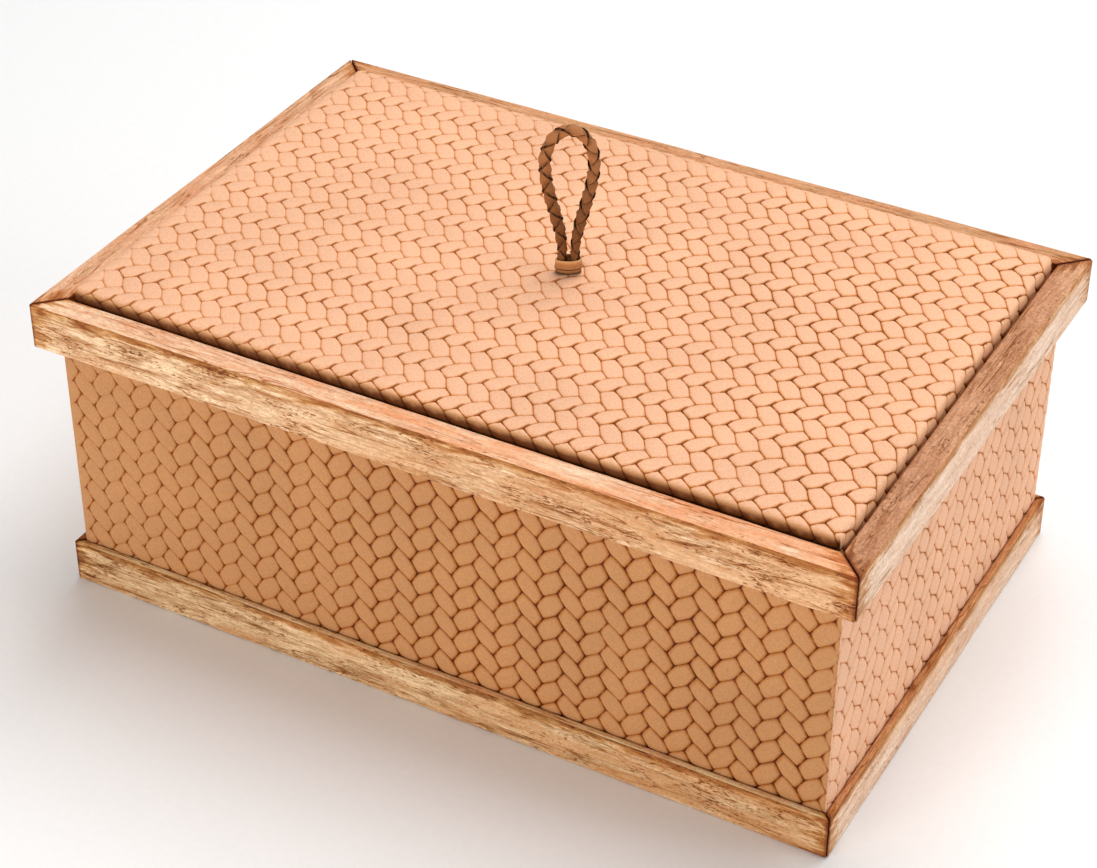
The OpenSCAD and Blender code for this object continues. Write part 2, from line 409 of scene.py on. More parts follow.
@dataclass(frozen=True)
class EmbossedHide(Finish):
    """Vegetable-tanned cowhide, plate-embossed with a braid and left almost matt.

    The crowns keep the pale top grain; the pressed grooves are burnished dark and deepened by painted shade.
    """

    crown: str = "#F0B892"
    # slope, groove and pit: burnished dye in the grooves, deepened by painted shade down into the pits
    slope: str = "#DA8E49"
    groove: str = "#8C460E"
    pit: str = "#5A2A06"
    # painted shade laid in the pits where three cells meet and along the tucked creases
    pit_shade: str = "#94602A"
    # two tints of painted shade, half and full: the body's shaded sides and the lid's edge down into the gap
    # by the rim
    deep_tan: str = "#CEC2A2"
    burnt_tan: str = "#6A4A1C"
    blotch_mm: float = 38.0
    press_mm: float = 9.0
    pore_mm: float = 0.6

    def pattern(self, tree: Tree) -> dict[str, object]:
        """Colours the hide by the depth of its emboss and by painted shade, with blotches and fine pores.

        Args:
            tree: the material's node tree.

        Returns:
            The shader's inputs.
        """
        place = add_node(tree, "TexCoord", {}, "Object")
        # size of a mark, finer layers, their roughness, and what the noise does least and most
        marks = (
            (self.press_mm, 2.0, 0.5, -0.05, 0.13),
            (self.blotch_mm, 3.0, 0.5, 0.94, 1.05),
            (self.pore_mm, 4.0, 0.65, 0.84, 1.14),
        )
        shares = []
        for size, detail, rough, least, most in marks:
            inputs = {"Vector": place, "Scale": 1 / (size * MM), "Detail": detail, "Roughness": rough}
            mark = add_node(tree, "TexNoise", inputs)
            shares.append(add_node(tree, "MapRange", {0: mark, 1: 0.3, 2: 0.7, 3: least, 4: most}))
        press, blotch, pore = shares
        depth, pit, tan = (
            add_node(tree, "Attribute", {}, "Fac", attribute_name=name) for name in ("emboss", "pit", "tan")
        )
        uneven = add_node(tree, "Math", {0: depth, 1: press}, operation="ADD")
        # darker with depth: burnished dye in the grooves plus painted shade deepening into the pits
        stops = ((0.02, self.pit), (0.18, self.groove), (0.40, self.slope), (0.70, self.crown))
        tone = add_node(tree, "ValToRGB", {"Fac": uneven}, stops=stops)
        # painted shade in the pits and along the tucked creases
        pit_shaded = darken(tree, tone, self.pit_shade, pit)
        # painted shade tint: white where there is none, then the half and full shade colours
        stops = ((0.0, "#FFFFFF"), (0.5, self.deep_tan), (1.0, self.burnt_tan))
        tanned = add_node(tree, "ValToRGB", {"Fac": tan}, stops=stops)
        shaded_colour = add_node(tree, "VectorMath", {0: pit_shaded, 1: tanned}, operation="MULTIPLY")
        share = add_node(tree, "Math", {0: blotch, 1: pore}, operation="MULTIPLY")
        # the last mark that was made is the pores
        relief = add_node(tree, "Bump", {"Height": mark, "Strength": 0.35, "Distance": 0.12 * MM})
        colour = add_node(tree, "VectorMath", {0: shaded_colour, "Scale": share}, operation="SCALE")
        return {"Base Color": colour, "Normal": relief, "Specular IOR Level": 0.22}


class Grain(Enum):
    """Which way a board's grain runs."""

    ALONG_X = 0
    ALONG_Y = 1

    def scale(self, long_mm: float, wide_mm: float) -> Triple:
        """Gives the Mapping scale for marks of a real length along the grain and width across."""
        long, wide = 1 / (long_mm * MM), 1 / (wide_mm * MM)
        return (wide, long, wide) if self is Grain.ALONG_Y else (long, wide, wide)


@dataclass(frozen=True)
class Timber(Finish):
    """Mango wood, planed, mitred and waxed.

    Pale honey sapwood with wavy brown figure, a few long growth lines, short dark flecks where
    the open pores are cut, a fine speckle all over, and darker wax at the arrises and mitres.
    """

    grain: Grain = Grain.ALONG_X
    pale: str = "#E9BD8A"
    brown: str = "#C08A55"
    blush: str = "#D98F62"
    fleck: str = "#90643A"
    wax: str = "#BE9058"
    fleck_share: float = 0.5
    speckle: float = 1.0
    # how the blush gathers towards the right or back end, in shares per metre
    lean: float = 0.0
    # height of the arris under which the wax is darkest, in millimetres
    arris: float = 0.0
    seed: float = 0.0
    # how much longer than deep the box is from its middle, which is where the mitres lie
    mitre_offset: float = 53.0
    drift_mm: Spot = (70.0, 6.5)
    figure_mm: Spot = (15.0, 2.4)
    line_mm: Spot = (6.0, 0.7)
    growth_mm: Spot = (60.0, 4.2)
    crowd_mm: Spot = (24.0, 8.0)
    fleck_mm: Spot = (2.0, 0.55)
    blush_mm: Spot = (40.0, 9.0)
    speckle_mm: Spot = (1.4, 0.9)

    def marks(self, tree: Tree, size: Spot, detail: float, swirl: float) -> Socket:
        """Adds noise whose marks have a real length and width along the grain.

        Args:
            tree: the material's node tree.
            size: length and width of a mark, in millimetres.
            detail: how many finer layers the noise has.
            swirl: how much the marks bend.

        Returns:
            The noise, from 0 to 1.
        """
        place = add_node(tree, "TexCoord", {}, "Object")
        inputs = {"Vector": place, "Scale": self.grain.scale(*size), "Location": (self.seed,) * 3}
        sized = add_node(tree, "Mapping", inputs)
        inputs = {"Vector": sized, "Scale": 1.0, "Detail": detail, "Roughness": 0.6, "Distortion": swirl}
        return add_node(tree, "TexNoise", inputs)

    def from_mitre(self, tree: Tree, x: Socket, y: Socket) -> Socket:
        """Gives the distance from the mitres along the grain.

        The mitres lie where the box's length coordinate exceeds its depth coordinate by a
        constant, so their place follows from the object coordinates alone.

        Args:
            tree: the material's node tree.
            x: the object coordinate along the box's length.
            y: the object coordinate along its depth.

        Returns:
            The distance, in metres.
        """
        across, deep = (add_node(tree, "Math", {0: axis}, operation="ABSOLUTE") for axis in (x, y))
        lead = weighed(tree, (across, 1.0), (deep, -1.0))
        off = add_node(tree, "Math", {0: lead, 1: self.mitre_offset * MM}, operation="SUBTRACT")
        return add_node(tree, "Math", {0: off}, operation="ABSOLUTE")

    def growth(self, tree: Tree) -> Socket:
        """Draws the long thin growth lines: level lines of stretched noise, here and there.

        Args:
            tree: the material's node tree.

        Returns:
            1 on a line and 0 off it.
        """
        rings = self.marks(tree, self.growth_mm, 2.0, 0.5)
        away = add_node(tree, "Math", {0: rings, 1: 0.5}, operation="SUBTRACT")
        near = add_node(tree, "Math", {0: away}, operation="ABSOLUTE")
        line = add_node(tree, "MapRange", {0: near, 1: 0.0, 2: 0.018, 3: 0.9, 4: 0.0})
        places = self.marks(tree, self.drift_mm, 2.0, 0.3)
        where = add_node(tree, "MapRange", {0: places, 1: 0.44, 2: 0.54, 3: 0.0, 4: 1.0})
        return add_node(tree, "Math", {0: line, 1: where}, operation="MULTIPLY")

    def pattern(self, tree: Tree) -> dict[str, object]:
        """Draws the figure, growth lines, flecks and speckle, and the dark wax.

        Args:
            tree: the material's node tree.

        Returns:
            The shader's inputs.
        """
        place = add_node(tree, "TexCoord", {}, "Object")
        x, y, z = (add_node(tree, "SeparateXYZ", {"Vector": place}, axis) for axis in "XYZ")
        drifts = self.marks(tree, self.drift_mm, 4.0, 0.8)
        figure = self.marks(tree, self.figure_mm, 5.0, 1.2)
        lines = self.marks(tree, self.line_mm, 4.0, 0.35)
        speckles = self.marks(tree, self.speckle_mm, 4.0, 0.0)
        grained = weighed(tree, (drifts, 0.35), (figure, 0.33), (lines, 0.32))
        colour = add_node(tree, "ValToRGB", {"Fac": grained}, stops=((0.42, self.pale), (0.59, self.brown)))
        end = x if self.grain is Grain.ALONG_X else y
        blushes = weighed(tree, (self.marks(tree, self.blush_mm, 3.0, 0.8), 1.0), (end, self.lean))
        share = add_node(tree, "MapRange", {0: blushes, 1: 0.45, 2: 0.62, 3: 0.0, 4: 0.55})
        inputs = {MIX_SHARE: share, MIX_A: colour, MIX_B: self.blush}
        colour = add_node(tree, "Mix", inputs, MIX_COLOUR, data_type="RGBA")
        crowds = self.marks(tree, self.crowd_mm, 3.0, 0.6)
        crowd = weighed(tree, (crowds, 0.65), (self.marks(tree, self.fleck_mm, 3.0, 0.4), 1.0))
        first = 1.00 - 0.085 * self.fleck_share
        flecks = add_node(tree, "MapRange", {0: crowd, 1: first, 2: first + 0.13, 3: 0.0, 4: 0.9})
        growth = self.growth(tree)
        colour = darken(tree, colour, self.fleck, weighed(tree, (flecks, 1.0), (growth, 0.7)))
        rise = weighed(tree, (z, 1.0), (figure, 10 * MM))
        low, high = (self.arris + 1.4) * MM, (self.arris + 4.6) * MM
        rim = add_node(tree, "MapRange", {0: rise, 1: low, 2: high, 3: 0.0, 4: 0.85 if self.arris else 0.0})
        mitre = self.from_mitre(tree, x, y)
        ragged = weighed(tree, (mitre, 1.0), (figure, -40 * MM))
        pooled = add_node(tree, "MapRange", {0: ragged, 1: -19 * MM, 2: -12 * MM, 3: 0.65, 4: 0.0})
        colour = darken(tree, colour, self.wax, weighed(tree, (rim, 1.0), (pooled, 1.0)))
        joint = add_node(tree, "MapRange", {0: mitre, 1: 0.5 * MM, 2: 1.8 * MM, 3: 0.6, 4: 0.0})
        colour = darken(tree, colour, self.fleck, joint)
        low, high = 1 - 0.17 * self.speckle, 1 + 0.13 * self.speckle
        shade = add_node(tree, "MapRange", {0: speckles, 1: 0.32, 2: 0.68, 3: low, 4: high})
        colour = add_node(tree, "VectorMath", {0: colour, "Scale": shade}, operation="SCALE")
        height = weighed(tree, (flecks, -0.8), (growth, -0.6), (lines, 0.8), (speckles, 0.6))
        relief = add_node(tree, "Bump", {"Height": height, "Strength": 0.5, "Distance": 0.22 * MM})
        return {"Base Color": colour, "Normal": relief, "Specular IOR Level": 0.2}


@dataclass(frozen=True)
class Mottled(Finish):
    """A plain stuff whose colour wanders between two shades, with a nap, weave or tooling relief.

    It serves the pieces that are glued, stuffed or turned: suede, baize, board, foam and brass.
    """

    shade: str = "#A88A6C"
    light: str = "#C2A586"
    mark_mm: Triple = (1.2, 1.2, 1.2)
    relief_mm: float = 0.05
    metallic: float = 0.0
    sheen: float = 0.0

    def pattern(self, tree: Tree) -> dict[str, object]:
        """Mixes the two shades, with a relief of the same marks.

        Args:
            tree: the material's node tree.

        Returns:
            The shader's inputs.
        """
        place = add_node(tree, "TexCoord", {}, "Object")
        scale = tuple(1 / (size * MM) for size in self.mark_mm)
        sized = add_node(tree, "Mapping", {"Vector": place, "Scale": scale})
        marks = add_node(tree, "TexNoise", {"Vector": sized, "Scale": 1.0, "Detail": 5.0, "Roughness": 0.7})
        colour = add_node(tree, "ValToRGB", {"Fac": marks}, stops=((0.32, self.shade), (0.68, self.light)))
        relief = add_node(tree, "Bump", {"Height": marks, "Strength": 0.5, "Distance": self.relief_mm * MM})
        return {"Base Color": colour, "Normal": relief, "Metallic": self.metallic, "Sheen Weight": self.sheen}


@dataclass(frozen=True)
class Lace(Finish):
    """Flat-cut leather lace, skived at the edges and waxed in use.

    The edges show the darker flesh; the crowns are rubbed paler with painted light on them, and painted shade
    where a lace dives under.
    """

    face: str = "#58300C"
    # the palest face colour: rubbing plus painted light
    worn_and_lit: str = "#AE7244"
    edge: str = "#341604"
    fibre_mm: float = 0.7

    def pattern(self, tree: Tree) -> dict[str, object]:
        """Colours the lace's dark edges and its worn and lit crowns, with a fibrous mottling.

        Args:
            tree: the material's node tree.

        Returns:
            The shader's inputs.
        """
        place = add_node(tree, "TexCoord", {}, "Object")
        across, rub = (
            add_node(tree, "Attribute", {}, "Fac", attribute_name=name) for name in ("lace", "rub")
        )
        inputs = {"Vector": place, "Scale": 1 / (self.fibre_mm * MM), "Detail": 4.0}
        fibres = add_node(tree, "TexNoise", inputs)
        # the recorded share: rubbing plus painted light and shade
        worn = add_node(tree, "Math", {0: fibres, 1: 0.6, 2: rub}, operation="MULTIPLY_ADD")
        face = add_node(tree, "ValToRGB", {"Fac": worn}, stops=((0.2, self.face), (0.96, self.worn_and_lit)))
        inputs = {MIX_SHARE: across, MIX_A: self.edge, MIX_B: face}
        colour = add_node(tree, "Mix", inputs, MIX_COLOUR, data_type="RGBA")
        relief = add_node(tree, "Bump", {"Height": fibres, "Strength": 0.4, "Distance": 0.08 * MM})
        return {"Base Color": colour, "Normal": relief, "Specular IOR Level": 0.2}


HIDE = EmbossedHide("Embossed_vegetable_tanned_hide", 0.62)
SUEDE = Mottled("Pigskin_suede_lining", 0.95, "#9C7A58", "#B8956F", sheen=0.4)
BAIZE = Mottled("Wool_baize", 0.98, "#7B6A50", "#94826A", (0.8, 0.8, 0.8), sheen=0.3)
BOARD = Mottled("Birch_plywood", 0.7, "#C9A878", "#DEC397", (30.0, 1.4, 1.4))
DOWEL = Mottled("Beech_dowel", 0.6, "#C99B6C", "#DDB587", (0.8, 14.0, 0.8))
FOAM = Mottled("Polyether_foam", 0.95, "#E4DCC8", "#F3EDDD", (0.6, 0.6, 0.6))
CARD = Mottled("Suede_lined_card", 0.95, "#9C7A58", "#B8956F", sheen=0.4)
BRASS = Mottled("Turned_brass", 0.32, "#B08D4A", "#C7A45E", (0.3, 0.3, 9.0), metallic=1.0)
PAPER = Mottled("White_seamless_paper", 0.9, "#F4F4F4", "#F7F7F7", (3.0, 3.0, 3.0), relief_mm=0.01)
LACE = Lace("Flat_leather_lace", 0.6)
COLLAR = Lace("Collar_strip_leather", 0.6, face="#985C2A", worn_and_lit="#DAA16C", edge="#2E1404")


# ---------------------------------------------------------------------------------------------
# Embossed hide
# ---------------------------------------------------------------------------------------------


class Run(Enum):
    """Which way the braid runs on a face."""

    SIDEWAYS = "sideways"
    UPRIGHT = "upright"


class Corner(Enum):
    """The four corners that repeat in the braid: near ends and far ends of its two leaning rows."""

    NEAR_FOOT = 0
    NEAR_HEAD = 1
    FAR_FOOT = 2
    FAR_HEAD = 3


@dataclass
class BraidPattern:
    """A two-row herringbone braid as it lies on one face, in millimetres.

    Down the braid the cells repeat every pitch. Across it, a column of cells that lean one way
    and a column that lean the other way repeat every column width.
    """

    run: Run
    # width and height of the face, and where the braid starts across and along itself
    face: Spot
    start: Spot
    pitch: float
    column: float
    waist: float
    lean: float
    # how far the far cells' feet and heads are shifted, in shares of the pitch
    step: float
    offset: float
    # the whole pattern's turn on the face, in radians
    turn: float
    near_bow: float = 0.0
    far_bow: float = 0.0
    groove_depth: float = 0.86
    # for each corner, how dark the painted shade in its pit is and how deep the pit is pressed; crease does
    # the same along the side where the next cell tucks in
    pits: dict[Corner, float] = field(default_factory=lambda: dict.fromkeys(Corner, 0.5))
    crease: float = 0.0
    pit_depth: float = 0.25
    pit_reach: float = 0.45
    long_cuts: int = 5
    short_cuts: int = 2
    lip: float = 0.20
    lip_lift: float = 0.38
    # each ring inside the lip: its share of the one before, and how much higher it is
    rings: tuple[Spot, ...] = ((0.82, 0.26), (0.66, 0.14))
    crown: float = 0.08

    def spot(self, across: float, along: float) -> Spot:
        """Turns a place in the braid into a place on the face.

        Args:
            across: distance across the braid.
            along: distance along it.

        Returns:
            The place, from the face's centre.
        """
        u, v = (along, across) if self.run is Run.SIDEWAYS else (across, along)
        u -= self.face[0] / 2
        v -= self.face[1] / 2
        cos, sin = math.cos(self.turn), math.sin(self.turn)
        return u * cos - v * sin, -(u * sin + v * cos)

    def corner(self, which: Corner, i: int, j: int) -> Spot:
        """Gives a corner's place across and along the braid.

        Args:
            which: which of the corners that repeat.
            i: column number.
            j: cell number down the column.

        Returns:
            The place across and along the braid.
        """
        across = self.start[0] + i * self.column
        along = self.start[1] + j * self.pitch
        half, waist = self.column / 2, self.waist
        return {
            Corner.NEAR_FOOT: (across + waist, along),
            Corner.NEAR_HEAD: (across + half - waist, along - self.lean),
            Corner.FAR_FOOT: (across + half + waist, along - self.lean + self.offset * self.pitch),
            Corner.FAR_HEAD: (across + self.column - waist, along + self.step * self.pitch),
        }[which]

    def edge(self, start: Spot, end: Spot, cuts: int, bow: float) -> list[Spot]:
        """Divides one side of a cell, bowed back along the braid.

        Args:
            start: where the side starts.
            end: where it ends.
            cuts: how many lengths it is divided into.
            bow: how far its middle is bowed.

        Returns:
            Its points, without the end.
        """
        shares = [k / cuts for k in range(cuts)]
        (x0, y0), (x1, y1) = start, end
        return [(x0 + (x1 - x0) * s, y0 + (y1 - y0) * s - 4 * bow * s * (1 - s)) for s in shares]

    def outline(self, near: bool, i: int, j: int) -> list[Spot]:
        """Gives the outline of one cell, across and along the braid.

        Args:
            near: True for the column of cells that lean one way, False for the other.
            i: column number.
            j: cell number down the column.

        Returns:
            The outline's points in order.
        """
        foot, head = (Corner.NEAR_FOOT, Corner.NEAR_HEAD) if near else (Corner.FAR_FOOT, Corner.FAR_HEAD)
        bow = self.near_bow if near else self.far_bow
        first, second = self.corner(foot, i, j), self.corner(head, i, j)
        third, fourth = self.corner(head, i, j + 1), self.corner(foot, i, j + 1)
        if near:
            right, left = self.corner(Corner.FAR_FOOT, i, j), self.corner(Corner.FAR_HEAD, i - 1, j)
        else:
            right = self.corner(Corner.NEAR_FOOT, i + 1, j + 1)
            left = self.corner(Corner.NEAR_HEAD, i, j + 1)
        short = self.short_cuts
        far_side = self.edge(fourth, third, self.long_cuts, bow) + [third]
        return (
            self.edge(first, second, self.long_cuts, bow)
            + self.edge(second, right, short, 0)
            + self.edge(right, third, short, 0)
            + far_side[:0:-1]
            + self.edge(fourth, left, short, 0)
            + self.edge(left, first, short, 0)
        )

    def dips(self, near: bool, outline: list[Spot]) -> list[tuple[Vector, float]]:
        """Pairs the points of an outline that lie deepest with how dark their painted shade is.

        Args:
            near: True for the column of cells that lean one way, False for the other.
            outline: the cell's outline, on the face.

        Returns:
            The corners, where three cells meet, and the side where the next cell tucks in.
        """
        long, short = self.long_cuts, self.short_cuts
        foot, head, right, left = Corner
        tucked = (long - 2, long - 1, long + 2 * short + 1, long + 2 * short + 2)
        if not near:
            foot, head, right, left = right, left, foot, head
            tucked = ()
        corners = (
            (0, foot),
            (long, head),
            (long + short, right),
            (long + 2 * short, head),
            (2 * (long + short), foot),
            (2 * long + 3 * short, left),
        )
        dips = [(number, self.pits[corner]) for number, corner in corners]
        dips += [(number, self.crease) for number in tucked]
        return [(Vector(outline[number]) * MM, dark) for number, dark in dips]

    def cell(self, near: bool, i: int, j: int) -> Piece:
        """Models one cell: its outline at the groove's floor, stepped up to a domed crown.

        Args:
            near: True for the column of cells that lean one way, False for the other.
            i: column number.
            j: cell number down the column.

        Returns:
            The cell, with the painted shade of its pits recorded at its vertices.
        """
        outline = [self.spot(*point) for point in self.outline(near, i, j)]
        bpy.ops.object.select_all(action="DESELECT")
        bpy.ops.mesh.primitive_circle_add(vertices=len(outline), radius=self.pitch * MM, fill_type="NGON")
        piece = Bench.take("cell")
        for vertex, (x, y) in zip(piece.data.vertices, outline):
            vertex.co = Vector((x, y, -self.groove_depth)) * MM
        piece.data.update()
        middle = sum((Vector(point) for point in outline), Vector((0, 0))) * MM / len(outline)
        with Bench.editing(piece):
            if piece.data.polygons[0].normal.z < 0:
                bpy.ops.mesh.flip_normals()
            bpy.ops.mesh.inset(thickness=self.lip * MM, depth=self.lip_lift * MM)
            for share, lift in self.rings:
                bpy.ops.mesh.extrude_region_move(TRANSFORM_OT_translate={"value": (0, 0, lift * MM)})
                bpy.ops.transform.resize(value=(share, share, 1), center_override=middle.to_3d())
            bpy.ops.mesh.poke(offset=self.crown * MM)
            Bench.choose(piece, Kind.VERT, lambda v: not v.is_boundary)
            bpy.ops.mesh.vertices_smooth(factor=0.5, repeat=1, zaxis=False)
        # painted shade at the pits, darkest at each point and half as dark at the edge of its reach
        layer = piece.data.attributes.new("pit", "FLOAT", "POINT")
        for spot, dark in self.dips(near, outline):
            for vertex in piece.data.vertices:
                away = (vertex.co.xy - spot).length / MM
                if away < self.pit_reach:
                    share = dark * (1 - 0.5 * away / self.pit_reach)
                    layer.data[vertex.index].value = max(layer.data[vertex.index].value, share)
                if away < 0.02:
                    vertex.co.z -= self.pit_depth * dark * MM
        return piece

    def sheet(self, name: str, low: Spot, high: Spot) -> Piece:
        """Repeats the two cells until they cover a rectangle of the face and more.

        Args:
            name: name of the new sheet.
            low: lowest corner, in millimetres from the face's centre.
            high: highest corner.

        Returns:
            The sheet, flat, its groove floors below z 0 and its crowns near it.
        """
        reach = [size / 2 + max(abs(a), abs(b)) for size, a, b in zip(self.face, low, high)]
        over = [r - size for r, size in zip(reach, self.face)]
        # the face's axes that the braid's own across and along lie on
        axes = (1, 0) if self.run is Run.SIDEWAYS else (0, 1)
        firsts, counts = [], []
        for axis, start, step in zip(axes, self.start, (self.column, self.pitch)):
            firsts.append(math.floor((-over[axis] - start) / step) - 1)
            counts.append(math.ceil((reach[axis] + over[axis]) / step) + 3)
        sheet = Bench.join([self.cell(near, *firsts) for near in (True, False)], name)
        home = Vector(self.spot(0, 0))
        Bench.repeat(sheet, Vector(self.spot(0, self.pitch)) - home, counts[1])
        Bench.repeat(sheet, Vector(self.spot(self.column, 0)) - home, counts[0])
        with Bench.editing(sheet):
            bpy.ops.mesh.remove_doubles(threshold=0.03 * MM)
        return sheet

    def height_share(self, point: Vector) -> float:
        """Gives a flat point's height as a share, from 0 in the deepest pits to 1 on the crowns."""
        return min(1.0, max(0.0, 1 + point.z / MM / (self.groove_depth + self.pit_depth)))


@dataclass
class LidHide:
    """The hide over the lid: stretched over thin foam, down the edges and turned in below."""

    pattern: BraidPattern
    edge_r: float = 3.0
    fold_r: float = 1.0
    turn_in: float = 15.0
    pillow: float = 0.3
    pillow_reach: float = 9.0
    # the dimple round the loop
    press: float = 0.2
    press_r: float = 4.0
    press_fade: float = 9.0
    deepest: float = 1.0
    # how far the lines of the braid wander, and how unevenly the plate has pressed, over what span
    drift: Spot = (0.35, 55.0)
    uneven: Spot = (0.15, 40.0)
    # how deep the braid is left at the strained left and back edges, and how far in they reach
    strained: float = 0.5
    strain_reach: float = 9.0
    # how deep the braid is at the left end, and how much deeper it is at the right
    left_depth: float = 0.80
    right_gain: float = 0.25
    # where past the flat top each stage of the painted shade down the edge into the gap starts, how soon it
    # is full, and its share
    gap_shading: tuple[Triple, ...] = ((1.2, 2.2, 0.45), (2.4, 2.6, 0.55))
    low: Vector = field(init=False)
    high: Vector = field(init=False)

    def __post_init__(self) -> None:
        """Reads the lid's size from the frame, in millimetres."""
        self.low, self.high = (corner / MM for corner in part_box("lid_hide"))

    @property
    def flat(self) -> Spot:
        """Half size of the flat top, inside its rounded edges."""
        return self.high.x - self.edge_r, self.high.y - self.edge_r

    @property
    def bends(self) -> tuple[float, float, float, float]:
        """How far past the flat top the parts of the hide end.

        Returns:
            The ends of the rounded edge, the side, the fold and the turned-in part.
        """
        edge = self.edge_r * math.pi / 2
        side = edge + self.high.z - self.edge_r - self.low.z - self.fold_r
        fold = side + self.fold_r * math.pi / 2
        return edge, side, fold, fold + self.turn_in - self.fold_r

    @property
    def notch(self) -> float:
        """Length of hide that reaches round half of an upright corner."""
        return self.edge_r * math.pi / 4

    def past(self, x: float, y: float) -> Spot:
        """Gives how far a place of the flat hide, in millimetres, is past the flat top each way."""
        return abs(x) - self.flat[0], abs(y) - self.flat[1]

    def fold(self, past: float) -> tuple[float, float, float, float]:
        """Follows the hide over the lid's edge.

        Args:
            past: length of hide past the flat top, in millimetres.

        Returns:
            How far out it lies, its height, and how far its face points outwards and upwards.
        """
        edge, side, fold, _ = self.bends
        top, low, r, f = self.high.z, self.low.z, self.edge_r, self.fold_r
        if past <= edge:
            cos, sin = math.cos(past / r), math.sin(past / r)
            return r * sin, top - r + r * cos, sin, cos
        if past <= side:
            return r, top - r - (past - edge), 1.0, 0.0
        if past <= fold:
            cos, sin = math.cos((past - side) / f), math.sin((past - side) / f)
            return r - f + f * cos, low + f - f * sin, cos, -sin
        return r - f - (past - fold), low, 0.0, -1.0

    def wrapped(self, point: Vector) -> Vector:
        """Takes a point of the flat hide to its place on the lid.

        Args:
            point: the point, in metres.

        Returns:
            Its place, in metres.
        """
        x, y, depth = point / MM
        depth = max(depth, -self.deepest)
        past_x, past_y = self.past(x, y)
        past, aside = max(past_x, past_y), min(past_x, past_y)
        if past <= 0:
            sag = self.pillow * (1 - ease(1 + past / self.pillow_reach)) ** 2
            dimple = self.press * (1 - ease((math.hypot(x, y) - self.press_r) / self.press_fade))
            return Vector((x, y, self.high.z + depth - sag - dimple)) * MM
        out, height, face_out, face_up = self.fold(past)
        out += face_out * depth
        height += face_up * depth - self.pillow * max(0.0, face_up)
        turn = math.pi / 4 * min(1.0, max(0.0, aside) / min(past, self.notch))
        ahead, sideways = out * math.cos(turn), out * math.sin(turn) if aside > 0 else 0
        add_x, add_y = (ahead, sideways) if past_x >= past_y else (sideways, ahead)
        far_x, far_y = min(abs(x), self.flat[0]) + add_x, min(abs(y), self.flat[1]) + add_y
        return Vector((math.copysign(far_x, x), math.copysign(far_y, y), height)) * MM

    def pressed(self, point: Vector) -> Vector:
        """Lets the flat pattern wander a little and flattens it where the hide is strained.

        Args:
            point: a point of the flat hide, in metres.

        Returns:
            Its new place, in metres.
        """
        x, y, z = point / MM
        x += self.drift[0] * wander(x, y, self.drift[1], 3.1)
        y += self.drift[0] * wander(x, y, self.drift[1], 7.7)
        from_left = x + self.flat[0]
        from_back = self.flat[1] - y
        slack = ease((min(from_left, from_back) + 2) / self.strain_reach)
        depth = self.strained + (1 - self.strained) * slack
        depth *= self.left_depth + self.right_gain * ease(from_left / (2 * self.flat[0]))
        depth *= 1.0 + self.uneven[0] * wander(x, y, self.uneven[1], 11.0)
        return Vector((x, y, z * depth)) * MM

    def gap_shade(self, point: Vector) -> float:
        """Gives the painted shade at a point of the flat hide, down its edge into the gap by the rim: most
        down the front.

        Args:
            point: the point, in metres.

        Returns:
            A share, from 0 on top to 1 low on the front edge.
        """
        past_x, past_y = self.past(point.x / MM, point.y / MM)
        past = max(past_x, past_y)
        front = ease(0.5 + (past_y - past_x) / 3) if point.y < 0 else 0.0
        dark = sum(share * ease((past - start) / reach) for start, reach, share in self.gap_shading)
        # painted shade: full down the front, three tenths of it on the other sides
        return (0.3 + 0.7 * front) * dark

    def cut_corners(self, hide: Piece) -> None:
        """Cuts the square notches and the mitres that let the hide fold round the corners.

        Args:
            hide: the flat hide.
        """
        fold = self.bends[2]

        def in_notch(face: bmesh.types.BMFace) -> bool:
            """Says whether a face lies in a corner that is cut away."""
            ways = self.past(*(face.calc_center_median().xy / MM))
            return min(ways) > self.notch or (max(ways) > fold and min(ways) > self.notch - max(ways) + fold)

        high = [half + self.notch for half in self.flat]
        with Bench.editing(hide):
            Bench.saw_square([-limit for limit in high], high)
            Bench.choose(hide, Kind.FACE, in_notch)
            bpy.ops.mesh.delete(type="FACE")

    def build(self) -> Piece:
        """Models the hide and folds it over the lid.

        Returns:
            The finished piece.
        """
        reach = self.bends[3]
        high = (self.flat[0] + reach, self.flat[1] + reach)
        low = (-high[0], -high[1])
        hide = self.pattern.sheet("lid_hide_embossed", low, high)
        Bench.reshape(hide, self.pressed)
        with Bench.editing(hide):
            Bench.saw_square(low, high, clear_outer=True)
        self.cut_corners(hide)
        Bench.record(hide, "emboss", self.pattern.height_share)
        # painted shade down the lid's edge into the gap by the rim
        Bench.record(hide, "tan", self.gap_shade)
        Bench.reshape(hide, self.wrapped)
        Bench.smooth(hide, 60)
        HIDE.dress(hide)
        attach(hide, "lid")
        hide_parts("lid_hide")
        return hide


class Side(Enum):
    """The four sides of the box, numbered anticlockwise from the front as seen from above."""

    FRONT = 0
    RIGHT = 1
    BACK = 2
    LEFT = 3

    @property
    def turn(self) -> Matrix:
        """Turns what is made for the front to this side."""
        return Matrix.Rotation(math.pi / 2 * self.value, 4, "Z")

    @property
    def long(self) -> bool:
        """Says whether this is one of the two long sides."""
        return self in (Side.FRONT, Side.BACK)


